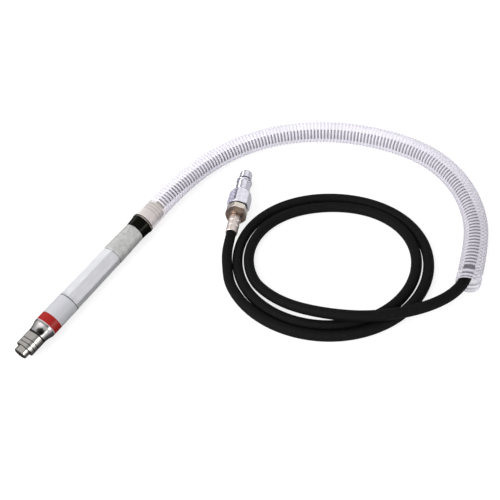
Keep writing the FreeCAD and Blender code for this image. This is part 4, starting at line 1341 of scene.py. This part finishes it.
@dataclass
class AirHose:
    """Braided hose: from the tool's nipple through the exhaust hose and its own coil to the plug.

    Attributes:
        inside_run: Centreline inside the exhaust hose.
        lead_in: Centreline from the mouth of the exhaust hose over the outer turns.
        centre: Middle of the coil, in millimetres.
        radius: Mean radius where the coil starts, in millimetres.
        growth: Growth of the radius per turn.
        oval: Half the difference between the coil's length and width.
        oval_fade: Loss of that per turn.
        lean: Direction of the oval, in degrees, doubled.
        lean_drift: Loss of that per turn.
        egg: Third wave of the coil's radius.
        egg_lean: Its direction, in degrees.
        slides: Where turns have slid outwards.
        first_angle: Angle at which the coil starts.
        last_angle: Angle at which it ends.
        steps: Steps between those two; each makes one control point.
        lead_out: Centreline from the coil up into the plug's sleeve.
        hose_r: Radius of the hose.
        ring_pitch: Distance between two rings of its mesh.
        sides: Points in each ring.
    """

    inside_run: tuple[Point, ...] = mm(
        (-71.5, 0.0, 9.75), (-95.5, 0.0, 9.75), (-127.8, 3.7, 8.0), (-154.9, 10.3, 7.8),
        (-184.6, 25.6, 7.8), (-211.3, 50.8, 7.8), (-232.1, 88.0, 7.8), (-241.6, 131.0, 7.8),
        (-239.7, 173.5, 7.8), (-221.0, 209.0, 7.8), (-189.9, 235.2, 7.8), (-173.0, 242.0, 7.8),
        (-158.0, 246.3, 7.8),
    )
    lead_in: tuple[Point, ...] = mm(
        (-132.2, 251.8, 8.1), (-115.3, 248.9, 9.4), (-99.3, 241.2, 11.6), (-85.6, 230.2, 12.9),
        (-74.1, 216.8, 13.1), (-64.6, 202.0, 13.0), (-57.8, 185.8, 12.5), (-53.5, 169.0, 10.8),
        (-51.9, 151.9, 7.8), (-53.2, 135.0, 5.0),
    )
    centre: Span = (-105.4, 152.2)
    radius: float = 54.9
    growth: float = 10.0
    oval: float = 4.55
    oval_fade: float = 0.2
    lean: float = 229.6
    lean_drift: float = 7.4
    egg: float = 0.5
    egg_lean: float = 55.0
    slides: tuple[Slide, ...] = (
        Slide(1.1, -57.0, 80.0), Slide(0.7, -62.0, 60.0), Slide(1.3, -205.0, 75.0),
        Slide(1.75, -312.0, 75.0), Slide(0.7, -372.0, 60.0), Slide(1.1, -417.0, 80.0),
        Slide(1.1, -777.0, 80.0),
    )
    first_angle: float = -35.0
    last_angle: float = -765.0
    steps: int = 73
    lead_out: tuple[Point, ...] = mm((-60.4, 87.2, 5.0), (-70.0, 80.6, 7.6), (-80.9, 75.7, 9.0),
                                     (-103.1, 66.25, 9.0))
    hose_r: float = 4.1 * MM
    ring_pitch: float = 1.5 * MM
    sides: int = 32

    def turn_point(self, angle: float) -> Point:
        """Places one control point of the coil.

        Args:
            angle: Its angle about the coil's middle, in degrees.

        Returns:
            The point, in metres.
        """
        turn = math.radians(angle)
        done = -angle / 360
        lean = math.radians(self.lean - self.lean_drift * done)
        radius = self.radius + self.growth * done
        radius += (self.oval - self.oval_fade * done) * math.cos(2 * turn - lean)
        radius += self.egg * math.cos(3 * turn - math.radians(self.egg_lean))
        for slide in self.slides:
            away = min(abs(angle - slide.angle) / slide.width, 1.0)
            radius += slide.reach * (1 - away * away) ** 2
        x, y = self.centre
        return ((x + radius * math.cos(turn)) * MM, (y + radius * math.sin(turn)) * MM, self.hose_r)

    def route(self) -> Route:
        """Joins the hose's stretches.

        Returns:
            The whole centreline from the nipple to the plug's sleeve.
        """
        span = self.last_angle - self.first_angle
        coil = [self.turn_point(self.first_angle + span * k / self.steps)
                for k in range(self.steps + 1)]
        return Route("air_route", self.inside_run + self.lead_in + tuple(coil) + self.lead_out)

    def build(self, fittings: list[bpy.types.Object]) -> bpy.types.Object:
        """Args:
            fittings: Pieces of the connector; not used.

        Returns:
            The hose.
        """
        path = Path(self.route().line())
        count = round(path.length / self.ring_pitch)
        rings = [Ring(path.length * k / count, self.hose_r) for k in range(count + 1)]
        piece = Tube("air_hose_braided", path, self.sides).build(rings, closed=False)
        piece.data.materials.append(Braid().build())
        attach(piece, HOUSING)
        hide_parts("air_hose_run", "air_hose_coil")
        LOG.info("air hose: %.3f m", path.length)
        return piece


Wardrobe = tuple[tuple[Finish, tuple[str, ...]], ...]


@dataclass
class Dressed:
    """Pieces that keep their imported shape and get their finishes.

    Attributes:
        nodes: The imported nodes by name.
    """

    nodes: dict[str, bpy.types.Object]

    def finishes(self) -> Wardrobe:
        """Returns each finish with the nodes that wear it."""
        raise NotImplementedError

    def dress(self) -> list[bpy.types.Object]:
        """Makes each finish the only one on its nodes.

        Returns:
            The nodes.
        """
        pieces = []
        for finish, names in self.finishes():
            material = finish.build()
            for name in names:
                piece = self.nodes[name]
                piece.data.materials.clear()
                piece.data.materials.append(material)
                pieces.append(piece)
            LOG.info("%s on %s", finish.name, ", ".join(names))
        return pieces


@dataclass
class Handpiece(Dressed):
    """The metal tool: nut, collet, spindle, bearings, motor, barrel, throttle ring and spigot."""

    def finishes(self) -> Wardrobe:
        """Chooses the finishes.

        Returns:
            Each finish with the nodes that wear it.
        """
        # Painted shade: dark lines at the nut's front, the joint of nut and head, the head's two
        # grooves and its rear end, where they lie in shadow.
        joints = ShadeLines(((-0.2, 0.5), (4.75, 5.2), (7.7, 8.3), (10.95, 11.55), (17.0, 17.6)))
        nickel = TurnedMetal("nickelled_steel", colour="#D8D4CF", shade="#C4C0BA", roughness=0.17,
                             ring_pitch=0.3, ring_depth=0.002, shade_lines=joints)
        # Painted shade at the cone's front edge over the head's flats, and a painted dark
        # reflection on the cone's side.
        polished = TurnedMetal("polished_nickel", colour="#C9C5C6", shade="#BDB9B9", roughness=0.17,
                               ring_pitch=0.5, ring_depth=0.001, shade_lines=ShadeLines(((17.5, 18.3),)),
                               dark_reflection=PaintedReflection(20.4, 54.0, 3.2, 30.0))
        bearing = TurnedMetal("bearing_steel", colour="#BDBDBE", shade="#9C9C9E", roughness=0.15,
                              ring_pitch=0.2, ring_depth=0.002)
        motor = TurnedMetal("hardened_steel", colour="#A8A8AA", shade="#85858A", roughness=0.28,
                            ring_pitch=0.2)
        brass = TurnedMetal("turned_brass", colour="#C9A85C", shade="#A3833F", ring_pitch=0.3)
        return (
            (nickel, ("collet_nut", "spindle")),
            (polished, ("nose_cone",)),
            (bearing, (
                "collet", "front_bearing_outer", "front_bearing_inner", "front_bearing_balls",
                "rear_bearing_outer", "rear_bearing_inner", "rear_bearing_balls", "rotor_clip",
                "liner_pin", "stop_pin", "cylinder_liner")),
            (motor, ("rotor", "front_plate", "rear_plate", "bearing_spacer")),
            (AnodisedBarrel(), ("barrel", "valve_body")),
            (EtchedAluminium(), ("throttle_ring",)),
            (GlossAnodised(), ("rear_collar",)),
            (KnurledFlange(), ("exhaust_spigot",)),
            (BlackRubber(), ("cuff_ring", "valve_o_rings")),
            (Felt(), ("nose_seal",)),
            (VaneComposite(), ("vanes",)),
            (brass, ("inlet_nipple", "front_bearing_cage", "rear_bearing_cage")),
            (TurnedMetal("warm_nickel"), ("inlet_ferrule",)),
        )


@dataclass
class Connector(Dressed):
    """Crimped sleeve, stem, nut, washer and quick-connect plug at the end of the air hose."""

    def finishes(self) -> Wardrobe:
        """Chooses the finishes.

        Returns:
            Each finish with the nodes that wear it.
        """
        line = Line.CONNECTOR
        sleeve = TurnedMetal("crimped_nickel", line, "#EBDFDA", "#E0D2CC", 0.38, ring_pitch=0.35,
                             ring_depth=0.0004)
        # Painted shade and painted reflection: the stem's nickel hex is coloured dark brown, in
        # place of its shaded end face and the dark things it mirrors.
        stem = TurnedMetal("nickel_with_painted_shade", line, "#8A776B", "#54463C", 0.3, ring_pitch=0.3,
                           ring_depth=0.001)
        nut = TurnedMetal("bright_nickel", line, "#E6DDD4", "#D6CCC2", 0.3, ring_pitch=0.4,
                          ring_depth=0.0008)
        return (
            (sleeve, ("hose_ferrule",)),
            (stem, ("hose_stem",)),
            (nut, ("hose_nut",)),
            (BlackRubber("sealing_washer"), ("plug_washer",)),
            (ChromePlate(), ("coupler_plug",)),
        )


@dataclass(frozen=True)
class Cloth:
    """A pale cloth or a dark card on the studio's walls, which the metal mirrors.

    Attributes:
        aim: Direction of its middle.
        full: Angle from there within which it has its full strength, in degrees.
        none: Angle at which it has faded out, in degrees.
        gain: Strength that it adds to the wall; below zero on a dark card.
    """

    aim: Point
    full: float
    none: float
    gain: float


@dataclass(frozen=True)
class Lamp:
    """A soft rectangular lamp.

    Attributes:
        name: Its name.
        place: Its place.
        size: Its width and height.
        power: Its power in watts.
    """

    name: str
    place: Point
    size: Span
    power: float

    def build(self, target: Point) -> None:
        """Adds the lamp.

        Args:
            target: The point that it faces.
        """
        data = bpy.data.lights.new(self.name, "AREA")
        data.shape = "RECTANGLE"
        data.size, data.size_y = self.size
        data.energy = self.power
        lamp = bpy.data.objects.new(self.name, data)
        bpy.context.scene.collection.objects.link(lamp)
        lamp.location = self.place
        lamp.rotation_mode = "QUATERNION"
        lamp.rotation_quaternion = (Vector(target) - lamp.location).to_track_quat("-Z", "Y")


@dataclass
class Studio:
    """A white table under soft lamps, and the camera.

    Attributes:
        eye: Place of the camera.
        right: Its right.
        up: Its up.
        back: Its back.
        sensor: Width of its sensor, in millimetres.
        focal_share: Focal length over sensor width.
        clip: Nearest and farthest distance that it sees.
        floor_size: Side of the table.
        surround: Strength of the walls.
        cloths: Pale cloths and dark cards on the walls.
        middle: The point that the lamps face.
        lamps: The lamps.
    """

    eye: Point = (0.17817, 0.32518, 0.41807)
    right: Point = (-0.54692, 0.82879, -0.11826)
    up: Point = (-0.68337, -0.36036, 0.63494)
    back: Point = (0.48361, 0.42808, 0.76346)
    sensor: float = 36.0
    focal_share: float = 679.4 / 500
    clip: Span = (0.01, 20.0)
    floor_size: float = 6.0
    surround: float = 0.58
    cloths: tuple[Cloth, ...] = (
        Cloth((0.24, 0.72, 0.65), 20.0, 31.0, -0.56),
        Cloth((-0.20, 0.97, 0.10), 11.0, 21.0, 2.9),
        Cloth((0.17, 0.98, 0.10), 8.0, 18.0, 2.0),
        Cloth((-0.45, -0.82, 0.36), 6.0, 14.0, 1.8),
        Cloth((-0.32, -0.95, -0.05), 9.0, 22.0, -0.6),
        Cloth((-0.75, -0.02, 0.66), 12.0, 28.0, 0.45),
        Cloth((0.80, -0.25, 0.55), 20.0, 60.0, 1.0),
    )
    middle: Point = (-0.08, 0.12, 0.0)
    lamps: tuple[Lamp, ...] = (
        Lamp("overhead", (1.1, -0.4, 0.85), (0.9, 0.9), 14.0),
        Lamp("side", (0.6, 0.9, 0.7), (0.5, 1.0), 1.0),
    )

    def camera(self) -> None:
        """Makes the camera and sets it as the scene's."""
        data = bpy.data.cameras.new("camera")
        data.sensor_width = self.sensor
        data.lens = self.sensor * self.focal_share
        data.clip_start, data.clip_end = self.clip
        camera = bpy.data.objects.new("camera", data)
        bpy.context.scene.collection.objects.link(camera)
        turn = Matrix((self.right, self.up, self.back)).transposed()
        camera.matrix_world = Matrix.Translation(self.eye) @ turn.to_4x4()
        bpy.context.scene.camera = camera

    def floor(self) -> None:
        """Makes the table."""
        half = self.floor_size / 2
        corners = [(-half, -half, 0), (half, -half, 0), (half, half, 0), (-half, half, 0)]
        mesh = bpy.data.meshes.new("table")
        mesh.from_pydata(corners, [], [(0, 1, 2, 3)])
        mesh.materials.append(WhiteTable().build())
        table = bpy.data.objects.new("table", mesh)
        bpy.context.scene.collection.objects.link(table)

    def walls(self) -> None:
        """Makes the walls, grey with paler cloths and dark cards, and white to the eye."""
        world = bpy.data.worlds.new("studio")
        bpy.context.scene.world = world
        world.use_nodes = True
        nodes = Nodes(world.node_tree)
        toward = nodes.add("TexCoord", out="Generated")
        light: Any = self.surround
        for cloth in self.cloths:
            near = nodes.add("VectorMath", {0: toward, 1: Vector(cloth.aim).normalized()}, "Value",
                             operation="DOT_PRODUCT")
            none, full = [math.cos(math.radians(angle)) for angle in (cloth.none, cloth.full)]
            share = nodes.add("MapRange", {0: near, 1: none, 2: full, 4: cloth.gain},
                              interpolation_type="SMOOTHSTEP")
            light = nodes.add("Math", {0: light, 1: share}, operation="ADD")
        seen = nodes.add("LightPath", out="Is Camera Ray")
        background = nodes.tree.nodes["Background"]
        nodes.feed(background.inputs["Color"], "#FFFFFF")
        nodes.feed(background.inputs["Strength"], nodes.add("MapRange", {0: seen, 3: light}))

    def build(self) -> None:
        """Makes camera, table, walls and lamps."""
        bpy.context.scene.view_settings.view_transform = "Standard"
        self.camera()
        self.floor()
        self.walls()
        for lamp in self.lamps:
            lamp.build(self.middle)


def main() -> None:
    """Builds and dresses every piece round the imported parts."""
    logging.basicConfig(level=logging.INFO, format="%(name)s: %(message)s")
    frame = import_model()
    nodes = frame["nodes"]
    Studio().build()
    fittings = Connector(nodes).dress()
    ExhaustHose().build()
    AirHose().build(fittings)
    Handpiece(nodes).dress()


if __name__ == "__main__":
    main()
